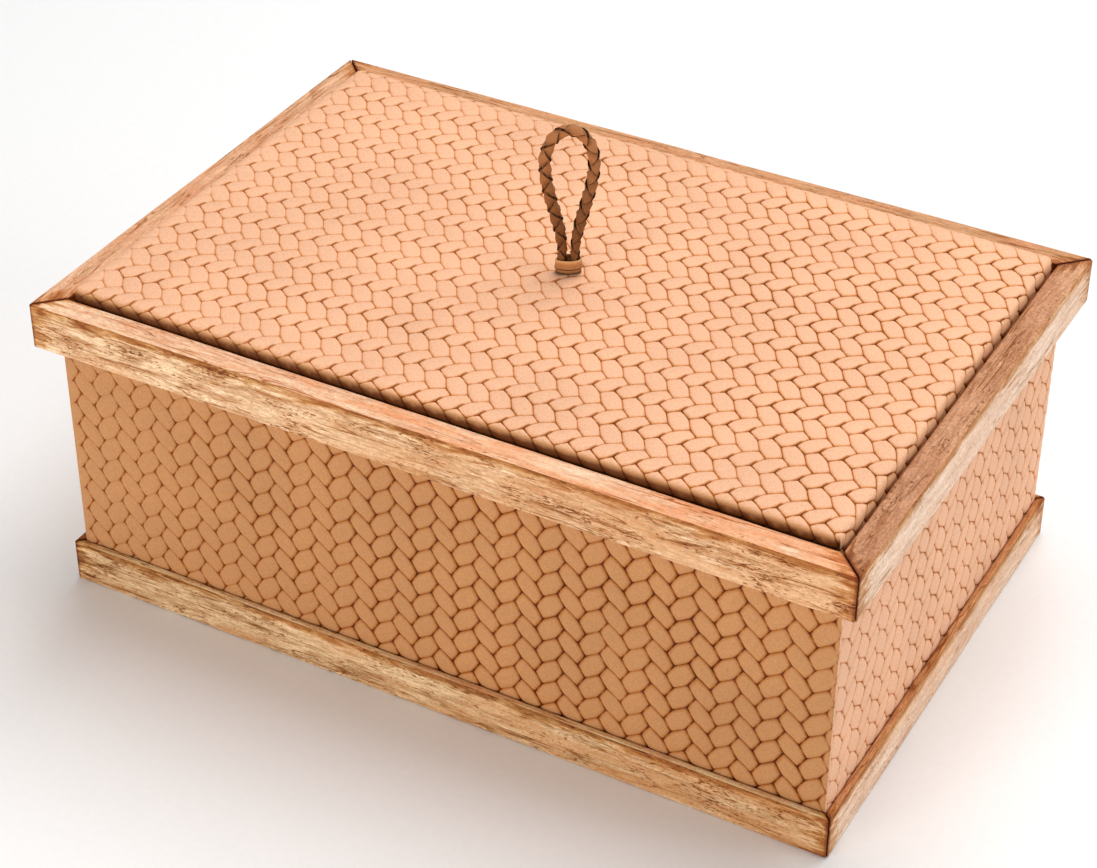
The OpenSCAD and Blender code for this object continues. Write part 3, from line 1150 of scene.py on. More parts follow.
@dataclass
class BodyHide:
    """The strip of hide round the body, folded tight at its four corners."""

    patterns: dict[Side, BraidPattern]
    corner_r: float = 1.5
    flat_edge: float = 1.8
    hem: float = 1.0
    # height that the middle of each side's pattern lies at
    middle: float = 62.0
    seam_inset: float = 20.0
    seam_gap: float = 0.3
    seam_depth: float = 1.0
    # for front, right, back and left: how much painted shade each side gets, most on the front, none on the
    # right
    side_shades: tuple[float, ...] = (0.5, 0.0, 0.2, 0.35)
    # how deep the braid still is at each side's left end, as a share
    faintest: tuple[float, ...] = (0.65, 0.8, 0.8, 0.8)
    # how far the lines of the braid wander each way, and how unevenly they are pressed, over what span
    drift: Triple = (0.4, 0.5, 45.0)
    uneven: Spot = (0.2, 30.0)
    low: Vector = field(init=False)
    high: Vector = field(init=False)

    def __post_init__(self) -> None:
        """Reads the body's size from the frame, in millimetres."""
        self.low, self.high = (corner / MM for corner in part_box("body_hide"))

    def part_seam(self, sheet: Piece) -> None:
        """Parts the flat back panel where the strip's two ends meet in a butt seam.

        Args:
            sheet: the flat panel.
        """
        seam = self.high.x - self.seam_inset - self.seam_gap / 2
        with Bench.editing(sheet):
            for column in (-1.2, -0.5, 0.5, 1.2):
                Bench.saw((seam + column * self.seam_gap, 0, 0), (1, 0, 0))
        for vertex in sheet.data.vertices:
            if abs(vertex.co.x / MM - seam) < 0.6 * self.seam_gap:
                vertex.co.z = min(vertex.co.z, -self.seam_depth * MM)

    def panel(self, side: Side) -> Piece:
        """Models the part of the strip that covers one side.

        Args:
            side: which side.

        Returns:
            The panel, in its place.
        """
        pattern = self.patterns[side]
        half, face = self.high.xy if side.long else self.high.yx
        half -= self.corner_r
        reach = half + self.corner_r * math.pi / 4
        low = (-reach, self.low.z + self.hem - self.middle)
        high = (reach, self.high.z - self.hem - self.middle)
        seed = 20.0 + 5 * side.value

        def pressed(point: Vector) -> Vector:
            """Lets the pattern wander and flattens it towards the folded corners.

            Args:
                point: a point of the flat panel, in metres.

            Returns:
                Its new place, in metres.
            """
            x, y, z = point / MM
            x += self.drift[0] * wander(x, y, self.drift[2], seed)
            y += self.drift[1] * wander(x, y, self.drift[2], seed + 1)
            edge = ease((half - abs(x) + 0.9) / self.flat_edge)
            faint = (1 - self.faintest[side.value]) * (1 - ease((x + half) / half))
            uneven = 1 + self.uneven[0] * wander(x, y, self.uneven[1], seed + 2)
            groove = max(z, -pattern.groove_depth) * (1 - faint) * uneven
            pit = min(0.0, z + pattern.groove_depth) * (1 + 2 * faint)
            return Vector((x, y, (groove + pit) * edge)) * MM

        def wrapped(point: Vector) -> Vector:
            """Takes a point of the flat panel to its place on the front of the box.

            Args:
                point: the point, in metres.

            Returns:
                Its place, in metres.
            """
            x, y, depth = point / MM
            past = max(0.0, abs(x) - half) / self.corner_r
            out = (self.corner_r + depth) * math.cos(past)
            aside = (self.corner_r + depth) * math.sin(past)
            across = math.copysign(min(abs(x), half) + aside, x)
            return Vector((across, -(face - self.corner_r) - out, self.middle + y)) * MM

        sheet = pattern.sheet(f"body_hide_{side.name.lower()}", low, high)
        Bench.reshape(sheet, pressed)
        with Bench.editing(sheet):
            Bench.saw_square(low, high, clear_outer=True)
        if side is Side.BACK:
            self.part_seam(sheet)
        Bench.record(sheet, "emboss", pattern.height_share)
        # the side's painted shade, the same all over it
        Bench.record(sheet, "tan", lambda p: self.side_shades[side.value])
        Bench.reshape(sheet, wrapped)
        sheet.data.transform(side.turn)
        return sheet

    def build(self) -> Piece:
        """Models the four panels and joins them into one strip.

        Returns:
            The finished piece.
        """
        hide = Bench.join([self.panel(side) for side in Side], "body_hide_embossed")
        Bench.smooth(hide, 60)
        HIDE.dress(hide)
        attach(hide, "box")
        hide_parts("body_hide")
        return hide


# ---------------------------------------------------------------------------------------------
# Timber rails
# ---------------------------------------------------------------------------------------------


@dataclass(frozen=True)
class Moulding:
    """The section of a frame's rails and the height of their outer arris, in millimetres."""

    width: float
    lip: float
    seat: float
    arris: float


class Frame(Enum):
    """The two timber frames, named as their CAD nodes are, each with its moulding."""

    RIM = Moulding(10.0, 7.0, 117.2, 125.0)
    PLINTH = Moulding(14.0, 3.0, 8.0, 17.5)


@dataclass
class Rail:
    """One mitred rail: an L-shaped moulding, planed, eased along its edges and a little worn."""

    frame: Frame
    side: Side
    face: Timber
    top: Timber
    ease_mm: float = 0.7
    mitre_gap: float = 0.3
    end_ease: float = 0.2
    cuts: int = 44
    # for each wave of the planed faces: the axis it moves, its depth and its span
    waves: tuple[Triple, ...] = ((1, 0.16, 30.0), (1, 0.05, 7.0), (2, 0.14, 34.0), (2, 0.05, 8.0))
    low: Vector = field(init=False)
    high: Vector = field(init=False)

    def __post_init__(self) -> None:
        """Reads the rail's size from the frame, in millimetres."""
        self.low, self.high = (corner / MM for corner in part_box(self.node))

    @property
    def node(self) -> str:
        """Name of the CAD node that the rail stands for."""
        return f"{self.frame.name}_{self.side.name}".lower()

    @property
    def half_run(self) -> float:
        """Half the rail's outer length."""
        return self.high.x if self.side.long else self.high.y

    @property
    def outer(self) -> float:
        """Distance of the rail's outer face from the middle of the box."""
        low, high = (self.low.y, self.high.y) if self.side.long else (self.low.x, self.high.x)
        return max(abs(low), abs(high))

    def profile(self) -> Piece:
        """Models the straight moulding: a slab with a lip drawn from it, down or up.

        Returns:
            The moulding, along the front.
        """
        half, front = self.half_run + 1, -self.outer
        moulding = self.frame.value
        rim = self.frame is Frame.RIM
        slab = (moulding.seat, self.high.z) if rim else (self.low.z, moulding.seat)
        back = front + moulding.width
        rail = Bench.block(f"{self.node}_rail", (-half, front, slab[0]), (half, back, slab[1]))
        drawn = (self.low.z if rim else self.high.z) - moulding.seat
        facing = -1 if rim else 1
        lip = front + moulding.lip
        with Bench.editing(rail):
            Bench.saw((0, lip, 0), (0, 1, 0))
            Bench.choose(
                rail,
                Kind.FACE,
                lambda f: f.normal.z * facing > 0.9 and f.calc_center_median().y < lip * MM,
            )
            bpy.ops.mesh.extrude_region_move(TRANSFORM_OT_translate={"value": (0, 0, drawn * MM)})
            Bench.choose_along(rail, 0)
            bpy.ops.mesh.subdivide(number_cuts=self.cuts)
        return rail

    def mitre(self, rail: Piece) -> None:
        """Saws both ends at 45 degrees and eases the edges.

        Args:
            rail: the straight moulding.
        """

        def arris(edge: bmesh.types.BMEdge) -> bool:
            """Says whether an edge is sharp and runs along the rail."""
            return len(edge.link_faces) == 2 and edge.calc_face_angle() > 0.6 and Bench.runs(edge, 0)

        def joint(edge: bmesh.types.BMEdge) -> bool:
            """Says whether an edge is sharp and borders the sawn end."""
            ends = sum(0.6 < abs(f.normal.x) < 0.8 and f.normal.z < 0.2 for f in edge.link_faces)
            return len(edge.link_faces) == 2 and ends == 1 and edge.calc_face_angle() > 0.6

        end = self.half_run - self.mitre_gap / math.sqrt(2)
        with Bench.editing(rail):
            for side in (-1, 1):
                Bench.saw((side * end, -self.outer, 0), (side, 1, 0), clear_outer=True, use_fill=True)
            Bench.choose(rail, Kind.EDGE, arris)
            bpy.ops.mesh.bevel(offset=self.ease_mm * MM, segments=3, affect="EDGES")
            Bench.choose(rail, Kind.EDGE, joint)
            bpy.ops.mesh.bevel(offset=self.end_ease * MM, segments=1, affect="EDGES")

    def worn(self, point: Vector) -> Vector:
        """Gives the planed faces the slight waves and rubs of handwork.

        Args:
            point: a point of the rail, in metres.

        Returns:
            Its new place, in metres.
        """
        place = point / MM
        seed = 40.0 + 7 * self.side.value + (3 if self.frame is Frame.RIM else 0)
        for number, (axis, depth, span) in enumerate(self.waves):
            place[axis] += depth * wander(place.x, place[3 - axis], span, seed + number)
        if self.frame is Frame.PLINTH:
            place.z = max(place.z, 0.0)
        return place * MM

    def build(self) -> Piece:
        """Models, wears, turns and finishes the rail.

        Returns:
            The finished piece.
        """
        rail = self.profile()
        self.mitre(rail)
        Bench.reshape(rail, self.worn)
        rail.data.transform(self.side.turn)
        Bench.smooth(rail, 35)
        self.face.dress(rail)
        rail.data.materials.append(self.top.material())
        for polygon in rail.data.polygons:
            polygon.material_index = 1 if polygon.normal.z > 0.75 else 0
        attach(rail, "box")
        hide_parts(self.node)
        return rail


# ---------------------------------------------------------------------------------------------
# Pull loop
# ---------------------------------------------------------------------------------------------


@dataclass
class CordPath:
    """The line that the cord follows, in its own upright plane, in millimetres."""

    points: list[Spot]
    turn: float
    lengths: list[float] = field(init=False)

    def __post_init__(self) -> None:
        """Adds up the length from the first point to each point."""
        self.lengths = [0.0]
        for (x0, z0), (x1, z1) in zip(self.points, self.points[1:]):
            self.lengths.append(self.lengths[-1] + math.hypot(x1 - x0, z1 - z0))

    @property
    def length(self) -> float:
        """The whole length of the line."""
        return self.lengths[-1]

    def at(self, run: float) -> tuple[Vector, Vector]:
        """Finds a place on the line.

        Args:
            run: length from the line's start.

        Returns:
            The place, and the direction of the line there, in the loop's own plane.
        """
        run = min(max(run, 0.0), self.length)
        low = min(bisect_right(self.lengths, run) - 1, len(self.lengths) - 2)
        (x0, z0), (x1, z1) = self.points[low : low + 2]
        share = (run - self.lengths[low]) / max(self.lengths[low + 1] - self.lengths[low], 1e-9)
        before = self.points[max(low - 1, 0)]
        after = self.points[min(low + 2, len(self.points) - 1)]
        rough_in = Vector((x1 - before[0], 0, z1 - before[1])).normalized()
        rough_out = Vector((after[0] - x0, 0, after[1] - z0)).normalized()
        heading = rough_in.lerp(rough_out, share).normalized()
        return Vector((x0 + (x1 - x0) * share, 0, z0 + (z1 - z0) * share)), heading

    def around(self, run: float, angle: float, radius: float) -> Vector:
        """Gives a place beside the line.

        Args:
            run: length from the line's start.
            angle: angle round the line, in radians.
            radius: distance from the line.

        Returns:
            The place, in metres.
        """
        centre, heading = self.at(run)
        beside = Vector((heading.z, 0, -heading.x))
        outwards = beside * math.cos(angle) + Vector((0, 1, 0)) * math.sin(angle)
        return Matrix.Rotation(self.turn, 3, "Z") @ (centre + outwards * radius) * MM


@dataclass
class BraidedCord:
    """A round cord plaited from four flat laces, two turning each way."""

    path: CordPath
    # the cord's thickness at a length along it, as a share of its full one
    girth: Callable[[float], float]
    step: float = 0.55
    lay: float = 16.5
    lace_w: float = 4.6
    lace_t: float = 0.45
    mean_r: float = 1.62
    core_r: float = 0.95
    weave: float = 0.3
    curl_r: float = 2.0
    flare: float = 0.38
    phase: float = math.pi / 2

    def lace(self, number: int) -> Piece:
        """Models one lace as a straight strip, then plaits it round the cord's line.

        Args:
            number: the lace's number, from 0 to 3; the last two turn the other way.

        Returns:
            The lace in its place, with its edges and its rubbed parts recorded.
        """
        handed = 1 if number < 2 else -1
        start = math.pi * (number % 2) + (self.phase if handed < 0 else 0)
        length = self.path.length
        half_w, half_t = self.lace_w / 2, self.lace_t / 2
        lace = Bench.block(f"lace_{number}", (-half_w, -half_t, 0), (half_w, half_t, length))
        with Bench.editing(lace):
            Bench.choose_along(lace, 2)
            bpy.ops.mesh.bevel(offset=0.15 * MM, segments=1, affect="EDGES")
            for column in (-0.86, -0.5, 0.0, 0.5, 0.86):
                Bench.saw((column * half_w, 0, 0), (1, 0, 0))
            Bench.choose_along(lace, 2)
            bpy.ops.mesh.subdivide(number_cuts=int(length / self.step))
        turns = 2 * math.pi / self.lay
        slope = math.atan(turns * self.mean_r)

        def over(run: float) -> float:
            """Says how far the lace lies over the others: 1 on top of a crossing, -1 under it."""
            return handed * math.cos(2 * turns * run - self.phase)

        def worn_and_lit(point: Vector) -> float:
            """Says how worn and lit a point is: most on the crossings of the arch, least where the lace dives
            under.

            Args:
                point: a point of the straight strip, in metres.

            Returns:
                The share that is rubbed.
            """
            # painted light from above, with rubbing: palest at the top of the arch
            high = ease(1 - 2.4 * abs(point.z / MM / length - 0.5))
            crown = 0.5 + 0.5 * over(point.z / MM)
            # painted shade where the lace dives under the next; the crossings on top rubbed palest
            return (0.12 + 0.5 * high) * (0.3 + 1.1 * crown * crown)

        def plaited(point: Vector) -> Vector:
            """Takes a point of the straight strip to its place in the braid.

            Args:
                point: the point, in metres.

            Returns:
                Its place, in metres.
            """
            across, out, run = point / MM
            lift = self.weave * over(run)
            shifted = run - handed * across * math.sin(slope)
            angle = handed * turns * run + start + across * math.cos(slope) / self.curl_r
            edge_lift = self.flare * (across / half_w) ** 2 * max(0.0, lift) / self.weave
            radius = (self.mean_r + lift + edge_lift + out) * self.girth(run)
            return self.path.around(shifted, angle, radius)

        Bench.record(lace, "lace", lambda p: ease((half_w - abs(p.x) / MM - 0.1) / 0.25))
        Bench.record(lace, "rub", worn_and_lit)
        Bench.reshape(lace, plaited)
        return lace

    def core(self) -> Piece:
        """Models the round core that the laces are plaited over, dark all over: painted shade between them.

        Returns:
            The core, in its place.
        """
        depth = self.path.length * MM
        bpy.ops.object.select_all(action="DESELECT")
        bpy.ops.mesh.primitive_cylinder_add(
            vertices=12, radius=self.core_r * MM, depth=depth, location=(0, 0, depth / 2)
        )
        core = Bench.take("core")
        Bench.settle(core)
        with Bench.editing(core):
            Bench.choose_along(core, 2)
            bpy.ops.mesh.subdivide(number_cuts=int(self.path.length / 2))
        # the laces' dark edge colour all over: painted shade seen in the gaps between the laces
        Bench.record(core, "lace", lambda p: 0.0)

        def bent(point: Vector) -> Vector:
            """Takes a point of the straight core to its place on the cord's line."""
            x, y, run = point / MM
            return self.path.around(run, math.atan2(y, x), math.hypot(x, y) * self.girth(run))

        Bench.reshape(core, bent)
        return core

    def build(self, name: str) -> Piece:
        """Plaits the four laces over the core into one cord.

        Args:
            name: name of the cord.

        Returns:
            The cord, finished.
        """
        cord = Bench.join([self.lace(number) for number in range(4)] + [self.core()], name)
        with Bench.editing(cord):
            bpy.ops.mesh.normals_make_consistent(inside=False)
        Bench.smooth(cord, 50)
        LACE.dress(cord)
        return cord


@dataclass
class PullLoop:
    """The braided loop, the collar that binds its legs, and its tails down to the knot."""

    bend: Vector
    turn: float
    collar_low: float
    collar_top: float
    loop_top: float
    leg_half: float = 2.3
    arch_half: float = 8.65
    arch_drop: float = 15.3
    cord_r: float = 2.25
    neck_r: float = 1.7
    # how far the loop reaches down into the collar, and the tails stay below its top
    tuck: float = 1.2
    tail_gap: float = 1.3
    knot_z: float = 120.5
    # radius of the knot's turns, of the cord in them, and how the turns are squashed
    knot_r: float = 4.0
    knot_cord_r: float = 1.7
    knot_squash: Triple = (1.0, 0.82, 0.62)
    points: int = 60
    collar_t: float = 0.45
    strip_share: float = 0.66
    lap_turns: float = 1.95
    lap_shift: float = 6.0
    # where the strip starts to rise over its first turn, and how long it takes, in turns
    rise_from: float = 0.80
    rise_length: float = 0.45
    bulge: float = 0.45

    @classmethod
    def from_frame(cls, frame: dict) -> "PullLoop":
        """Takes the loop's heights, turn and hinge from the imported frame.

        Args:
            frame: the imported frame.

        Returns:
            The loop, ready to be built.
        """
        joint = next(j for j in frame["joints"] if j["name"] == "loop_tilt")
        axis = Vector(joint["axis"])
        collar_low, collar_top = (corner.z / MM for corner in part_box("loop_collar"))
        loop_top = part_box("pull_loop")[1].z / MM
        return cls(
            Vector(joint["pos_m"]) / MM, math.atan2(axis.y, axis.x), collar_low, collar_top, loop_top
        )

    def line(self) -> CordPath:
        """Lays out the cord's line: up one leg, over the arch and down the other.

        Returns:
            The line, as seen across the loop.
        """
        start = self.collar_top - self.tuck
        arch_z = self.loop_top - self.arch_drop
        rise = self.arch_drop - self.cord_r
        leg, arch = [], []
        for k in range(self.points):
            z = start + (arch_z - start) * k / self.points
            share = ease((z - self.bend.z) / (arch_z - self.bend.z))
            leg.append((self.leg_half + (self.arch_half - self.leg_half) * share, z))
        for k in range(self.points + 1):
            angle = math.pi * k / self.points
            arch.append((self.arch_half * math.cos(angle), arch_z + rise * math.sin(angle)))
        return CordPath(leg + arch + [(-x, z) for x, z in reversed(leg)], self.turn)

    def build_loop(self) -> Piece:
        """Plaits the loop, thinner where the collar squeezes its legs.

        Returns:
            The finished piece, its legs spreading apart from the hinge's height upwards.
        """
        path = self.line()
        neck = self.neck_r / self.cord_r

        def girth(run: float) -> float:
            """Gives the cord's thickness as a share of its full one."""
            near_end = min(run, path.length - run)
            return neck + (1 - neck) * ease((near_end - 2) / 16)

        loop = BraidedCord(path, girth).build("pull_loop_braid")
        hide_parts("pull_loop")
        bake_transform(loop)
        return loop

    def build_tails(self) -> Piece:
        """Plaits the two tails below the collar and ties them in a flat knot.

        Returns:
            The finished piece.
        """
        neck = 0.98 * self.neck_r / self.cord_r
        parts = []
        for x in (-self.leg_half, self.leg_half):
            path = CordPath([(x, self.knot_z), (x, self.collar_top - self.tail_gap)], self.turn)
            parts.append(BraidedCord(path, lambda run: neck, step=1.2).build("tail"))
        for tilt in (0.0, 60.0, 120.0):
            bpy.ops.object.select_all(action="DESELECT")
            bpy.ops.mesh.primitive_torus_add(
                major_radius=self.knot_r * MM,
                minor_radius=self.knot_cord_r * MM,
                major_segments=32,
                minor_segments=12,
                location=(0, 0, self.knot_z * MM),
                rotation=(math.radians(8), 0, math.radians(tilt)),
            )
            turn = Bench.take("knot_turn")
            turn.scale = self.knot_squash
            Bench.settle(turn)
            Bench.record(turn, "lace", lambda p: 1.0)
            parts.append(turn)
        tails = Bench.join(parts, "loop_tails_braid")
        LACE.dress(tails)
        Bench.smooth(tails, 50)
        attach(tails, "lid")
        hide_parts("loop_tails")
        return tails

    def build_collar(self) -> Piece:
        """Winds a strip of hide twice round both legs, the second turn rising over the first.

        Returns:
            The finished piece.
        """
        straight = 2 * self.leg_half
        round_length = math.pi * (self.neck_r + self.collar_t / 2)
        half_turn = straight + round_length
        girth = 2 * half_turn
        length = self.lap_turns * girth
        height = self.collar_top - self.collar_low
        strip_w = self.strip_share * height
        low, high = (0, -self.collar_t / 2, 0), (length, self.collar_t / 2, strip_w)
        strip = Bench.block("loop_collar_strip", low, high)
        with Bench.editing(strip):
            Bench.choose_along(strip, 0)
            bpy.ops.mesh.bevel(offset=0.2 * MM, segments=2, affect="EDGES")
            Bench.choose_along(strip, 0)
            bpy.ops.mesh.subdivide(number_cuts=150)
            Bench.choose(
                strip, Kind.EDGE, lambda e: Bench.runs(e, 2) and e.calc_length() > strip_w * MM / 2
            )
            bpy.ops.mesh.subdivide(number_cuts=5)

        def shown(point: Vector) -> float:
            """Says how far a point of the strip is from the painted shadow along the foot of each turn, and
            from its dark cut end.
            """
            # painted shadow under each turn's lower edge, deeper under the first turn
            foot = 0.5 if point.x / MM < 0.9 * girth else 0.1
            return min(ease((point.z / MM - foot) / 0.5), ease((length - point.x / MM) / 0.5))

        def wrapped(point: Vector) -> Vector:
            """Takes a point of the flat strip to its place round the legs.

            Args:
                point: the point, in metres.

            Returns:
                Its place, in metres.
            """
            run, out, up = point / MM
            second = ease((run - self.rise_from * girth) / (self.rise_length * girth))
            raised = up + second * (height - strip_w)
            radius = self.neck_r + self.collar_t / 2 + out + second * self.collar_t * 0.9
            radius += 0.3 * ease(1 - 2 * up / strip_w) - 0.1 * ease((raised / height - 0.7) / 0.3)
            # the back half is the front half, turned
            half, place = divmod((run - self.lap_shift) % girth, half_turn)
            if place < straight:
                x = place - straight / 2
                y = -radius - self.bulge * (1 - (2 * x / straight) ** 2)
            else:
                angle = (place - straight) / round_length * math.pi - math.pi / 2
                x, y = straight / 2 + radius * math.cos(angle), radius * math.sin(angle)
            side = -1 if half else 1
            flat = Vector((side * x, side * y, self.collar_low + raised - 0.15))
            return Matrix.Rotation(self.turn, 3, "Z") @ flat * MM

        Bench.record(strip, "lace", shown)
        # paler towards the strip's top edge: rubbing plus painted light from above
        Bench.record(strip, "rub", lambda p: 0.15 + 0.6 * ease(2 * p.z / MM / strip_w - 1))
        Bench.reshape(strip, wrapped)
        with Bench.editing(strip):
            bpy.ops.mesh.normals_make_consistent(inside=False)
        Bench.smooth(strip, 50)
        COLLAR.dress(strip)
        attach(strip, "lid")
        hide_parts("loop_collar")
        return strip

    def build(self) -> list[Piece]:
        """Makes the loop, its tails and its collar."""
        return [self.build_loop(), self.build_tails(), self.build_collar()]


# ---------------------------------------------------------------------------------------------
# Pieces kept from the frame
# ---------------------------------------------------------------------------------------------


@dataclass
class KeptPieces:
    """The frame's own pieces whose shape is right already: each gets its finish."""

    nodes: dict[str, Piece]
    # how the names of the nodes start that each finish goes to
    finishes: tuple[tuple[Finish, tuple[str, ...]], ...] = (
        (BOARD, ("wall_", "floor_board", "lid_board")),
        (DOWEL, ("corner_dowels",)),
        (SUEDE, ("lining_", "floor_lining")),
        (BAIZE, ("base_baize",)),
        (FOAM, ("lid_padding",)),
        (CARD, ("lid_card",)),
        (BRASS, ("loop_washer",)),
    )

    def dress(self) -> list[str]:
        """Finishes each piece that is still shown.

        Returns:
            Their names.
        """
        dressed = [name for name, piece in self.nodes.items() if not piece.hide_render]
        for name in dressed:
            finish = next(f for f, starts in self.finishes if name.startswith(starts))
            piece = self.nodes[name]
            material = finish.material()
            if not piece.material_slots:
                piece.data.materials.append(material)
            for slot in piece.material_slots:
                slot.material = material
        return dressed


# ---------------------------------------------------------------------------------------------
# Studio
# ---------------------------------------------------------------------------------------------


@dataclass(frozen=True)
class Lamp:
    """A soft box: where it hangs, what it points at, its size, strength and colour."""

    name: str
    place: Triple
    target: Triple
    size: float
    watts: float
    colour: str = "#FFFFFF"

    def hang(self) -> None:
        """Hangs the lamp."""
        light = bpy.data.lights.new(self.name, "AREA")
        light.shape = "SQUARE"
        light.size = self.size
        light.energy = self.watts
        light.color = linear(self.colour)[:3]
        lamp = bpy.data.objects.new(self.name, light)
        bpy.context.scene.collection.objects.link(lamp)
        lamp.location = self.place
        aim = Vector(self.target) - Vector(self.place)
        lamp.rotation_euler = aim.to_track_quat("-Z", "Y").to_euler()


@dataclass
class Studio:
    """A pale floor, soft light and a camera where the photograph was taken from."""

    camera_place: Triple = (0.38138, -0.71305, 0.63573)
    # the camera's right, up and back, each a direction in the room
    camera_axes: tuple[Triple, ...] = (
        (0.87628, 0.48178, 0.00430),
        (-0.28336, 0.50813, 0.81333),
        (0.38966, -0.71393, 0.58179),
    )
    lens_mm: float = 87.08
    sensor_mm: float = 36.0
    sky: str = "#FFFFFF"
    sky_strength: float = 0.30
    lamps: tuple[Lamp, ...] = (
        Lamp("key_above", (0.10, 0.60, 1.58), (0.0, 0.0, 0.1), 1.3, 23.8),
        Lamp("side_right", (1.7, 0.2, 0.6), (0.15, 0.0, 0.08), 0.9, 9.6, "#F0F8FF"),
        Lamp("front_fill", (-0.45, -1.8, 0.4), (0.0, -0.1, 0.06), 0.9, 19.5, "#FFF6EC"),
    )

    def place_camera(self) -> None:
        """Sets the camera where the photograph's was."""
        data = bpy.data.cameras.new("photo_view")
        data.lens = self.lens_mm
        data.sensor_width = self.sensor_mm
        data.clip_start, data.clip_end = 0.01, 50.0
        camera = bpy.data.objects.new("photo_view", data)
        bpy.context.scene.collection.objects.link(camera)
        camera.matrix_world = Matrix(self.camera_axes).transposed().to_4x4()
        camera.location = self.camera_place
        bpy.context.scene.camera = camera

    def lay_floor(self) -> None:
        """Lays a wide pale sheet of paper under the box."""
        bpy.ops.object.select_all(action="DESELECT")
        # a hair lower than the plinth, so that the two never share one plane
        bpy.ops.mesh.primitive_plane_add(size=12.0, location=(0, 0, -0.1 * MM))
        floor = Bench.take("paper_floor")
        PAPER.dress(floor)

    def light(self) -> None:
        """Sets the sky and the lamps, and keeps the colours as the eye sees them."""
        world = bpy.data.worlds.new("studio")
        world.use_nodes = True
        tree = world.node_tree
        tree.nodes.clear()
        glow = add_node(tree, "Background", {"Color": self.sky, "Strength": self.sky_strength})
        add_node(tree, "OutputWorld", {"Surface": glow})
        bpy.context.scene.world = world
        bpy.context.scene.view_settings.view_transform = "Standard"
        for lamp in self.lamps:
            lamp.hang()

    def build(self) -> None:
        """Sets up the whole studio."""
        self.place_camera()
        self.lay_floor()
        self.light()


# ---------------------------------------------------------------------------------------------
# The box
# ---------------------------------------------------------------------------------------------

LID_BRAID = BraidPattern(
    Run.SIDEWAYS, (300, 194), (12.147, 2.041), pitch=8.297, column=17.062, waist=1.654, lean=2.874,
    step=0.552, offset=0.527, turn=-0.0129, near_bow=0.45, crease=0.6,
    pits={Corner.NEAR_FOOT: 0.15, Corner.NEAR_HEAD: 0.55, Corner.FAR_FOOT: 0.3, Corner.FAR_HEAD: 0.15},
)
SIDE_BRAIDS = {
    Side.FRONT: BraidPattern(
        Run.UPRIGHT, (306, 90), (13.041, 0.674), pitch=9.735, column=16.648, waist=1.529, lean=3.449,
        step=0.521, offset=0.479, turn=0.0075, far_bow=0.35, lip=0.32, lip_lift=0.27,
        pits=dict.fromkeys(Corner, 0.65),
    ),
    Side.RIGHT: BraidPattern(
        Run.UPRIGHT, (200, 90), (9.80, 5.93), pitch=10.15, column=16.89, waist=1.6, lean=3.4,
        step=0.53, offset=0.50, turn=0.0102, far_bow=0.35,
    ),
    Side.BACK: BraidPattern(
        Run.UPRIGHT, (306, 90), (6.0, 3.0), pitch=9.9, column=16.7, waist=1.58, lean=3.4,
        step=0.53, offset=0.50, turn=-0.006, far_bow=0.35,
    ),
    Side.LEFT: BraidPattern(
        Run.UPRIGHT, (200, 90), (4.0, 1.5), pitch=9.9, column=16.8, waist=1.58, lean=3.4,
        step=0.53, offset=0.50, turn=0.004, far_bow=0.35,
    ),
}
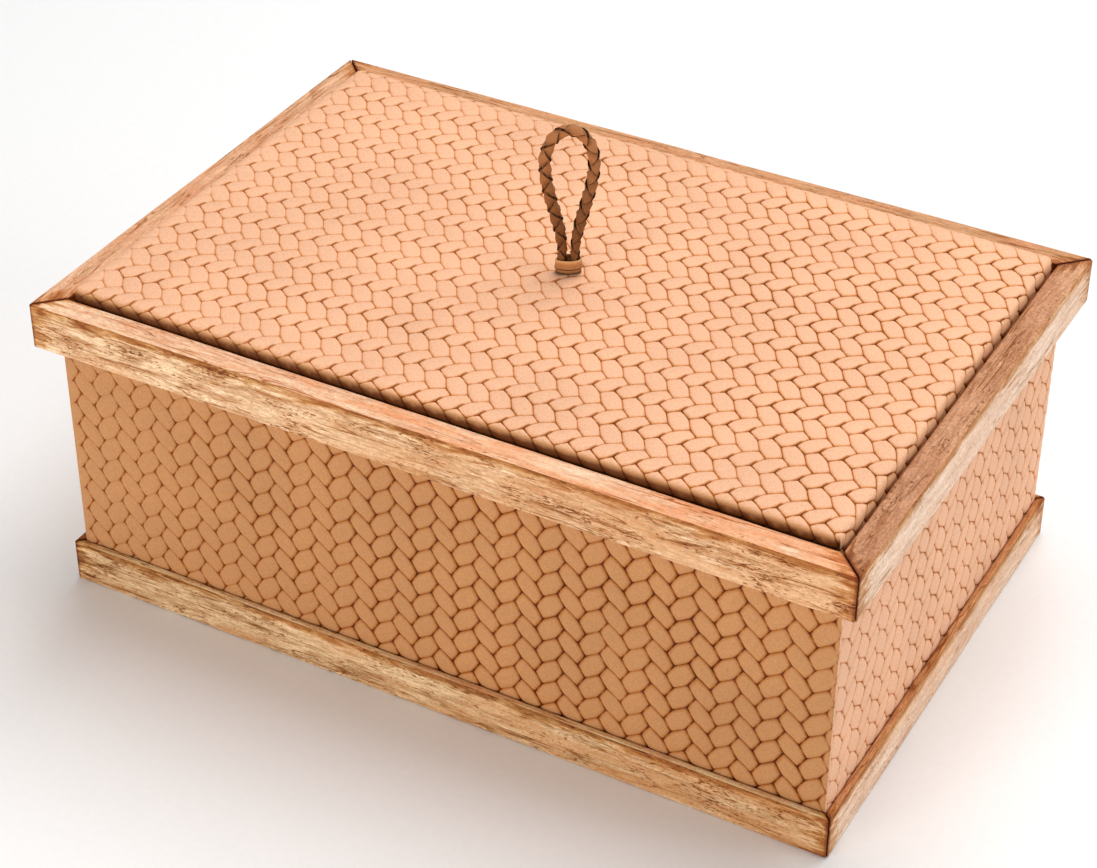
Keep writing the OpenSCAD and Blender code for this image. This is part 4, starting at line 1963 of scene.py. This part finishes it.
# for each rail's outer face and top: pale, brown, blush and fleck, share of flecks, lean of the
# blush, strength of the speckle, and seed; the colours left out are the timber's own
BOARDS = {
    (Frame.RIM, Side.FRONT): (
        ("#FFDDB6 #B87E4A #DDA270", 1.0, 0.9, 1.0, 1.3),
        ("#FBD4B0 #DA956A #EE975E", 0.0, 1.0, 1.0, 2.7),
    ),
    (Frame.RIM, Side.RIGHT): (
        # paler face with greyer flecks: painted light from the right over the timber's tone
        ("#FEE1C8 #DCAD8A #F3C6A6 #B08C6C", 0.5, 0.0, 1.0, 4.1),
        # darker top: painted shade over the timber's tone
        ("#D7A17B #A46942 #B97B54", 0.4, 0.0, 1.6, 5.9),
    ),
    (Frame.RIM, Side.BACK): (
        ("#EBC294 #BA824E", 0.6, 0.0, 1.0, 7.2),
        ("#E5AB7E #B78153", 0.3, 0.0, 1.0, 8.8),
    ),
    (Frame.RIM, Side.LEFT): (
        ("#EBC294 #BA824E", 0.6, 0.0, 1.0, 9.4),
        ("#FAC8A1 #CF976F", 0.2, 0.0, 1.0, 11.1),
    ),
    (Frame.PLINTH, Side.FRONT): (
        ("#EECFA5 #A97949 #CD8F58", 0.8, 0.8, 1.0, 12.5),
        # extra pale ledge top: painted light against the shade of the body above it
        ("#FFECC0 #E4B87D", 0.2, 0.0, 1.0, 13.9),
    ),
    (Frame.PLINTH, Side.RIGHT): (
        # paler face with greyer flecks: painted light from the right over the timber's tone
        ("#FDE0C5 #D9A884 #EBB993 #A88464", 0.5, 0.0, 1.0, 15.3),
        ("#E8B07C #BC7C46", 0.2, 0.0, 1.0, 16.7),
    ),
    (Frame.PLINTH, Side.BACK): (
        ("#E2B682 #B47E48", 0.5, 0.0, 1.0, 18.2),
        ("#DDA468 #B07840", 0.2, 0.0, 1.0, 19.6),
    ),
    (Frame.PLINTH, Side.LEFT): (
        ("#E6BC8C #B88250", 0.5, 0.0, 1.0, 21.0),
        ("#DDA468 #B07840", 0.2, 0.0, 1.0, 22.4),
    ),
}


def rails() -> Iterator[Rail]:
    """Takes up the eight rails in turn, each with the timber of its own boards.

    Yields:
        Each rail, ready to be built.
    """
    for (frame, side), looks in BOARDS.items():
        grain = Grain.ALONG_X if side.long else Grain.ALONG_Y
        timbers = []
        for part, arris, look in zip(("face", "top"), (frame.value.arris, 0.0), looks):
            colours, flecks, lean, speckle, seed = look
            name = f"Mango_{frame.name.lower()}_{side.name.lower()}_{part}"
            wear = {"fleck_share": flecks, "lean": lean, "speckle": speckle, "seed": seed, "arris": arris}
            timbers.append(Timber(name, 0.6, grain, *colours.split(), **wear))
        yield Rail(frame, side, *timbers)


def main() -> None:
    """Builds the studio and the dressed box."""
    logging.basicConfig(level=logging.INFO, format="%(name)s: %(message)s")
    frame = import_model()
    Studio().build()
    LOG.info("built %s", LidHide(LID_BRAID).build().name)
    LOG.info("built %s", BodyHide(SIDE_BRAIDS).build().name)
    for rail in rails():
        LOG.info("built %s", rail.build().name)
    for piece in PullLoop.from_frame(frame).build():
        LOG.info("built %s", piece.name)
    for name in KeptPieces(frame["nodes"]).dress():
        LOG.info("finished %s", name)


if __name__ == "__main__":
    main()
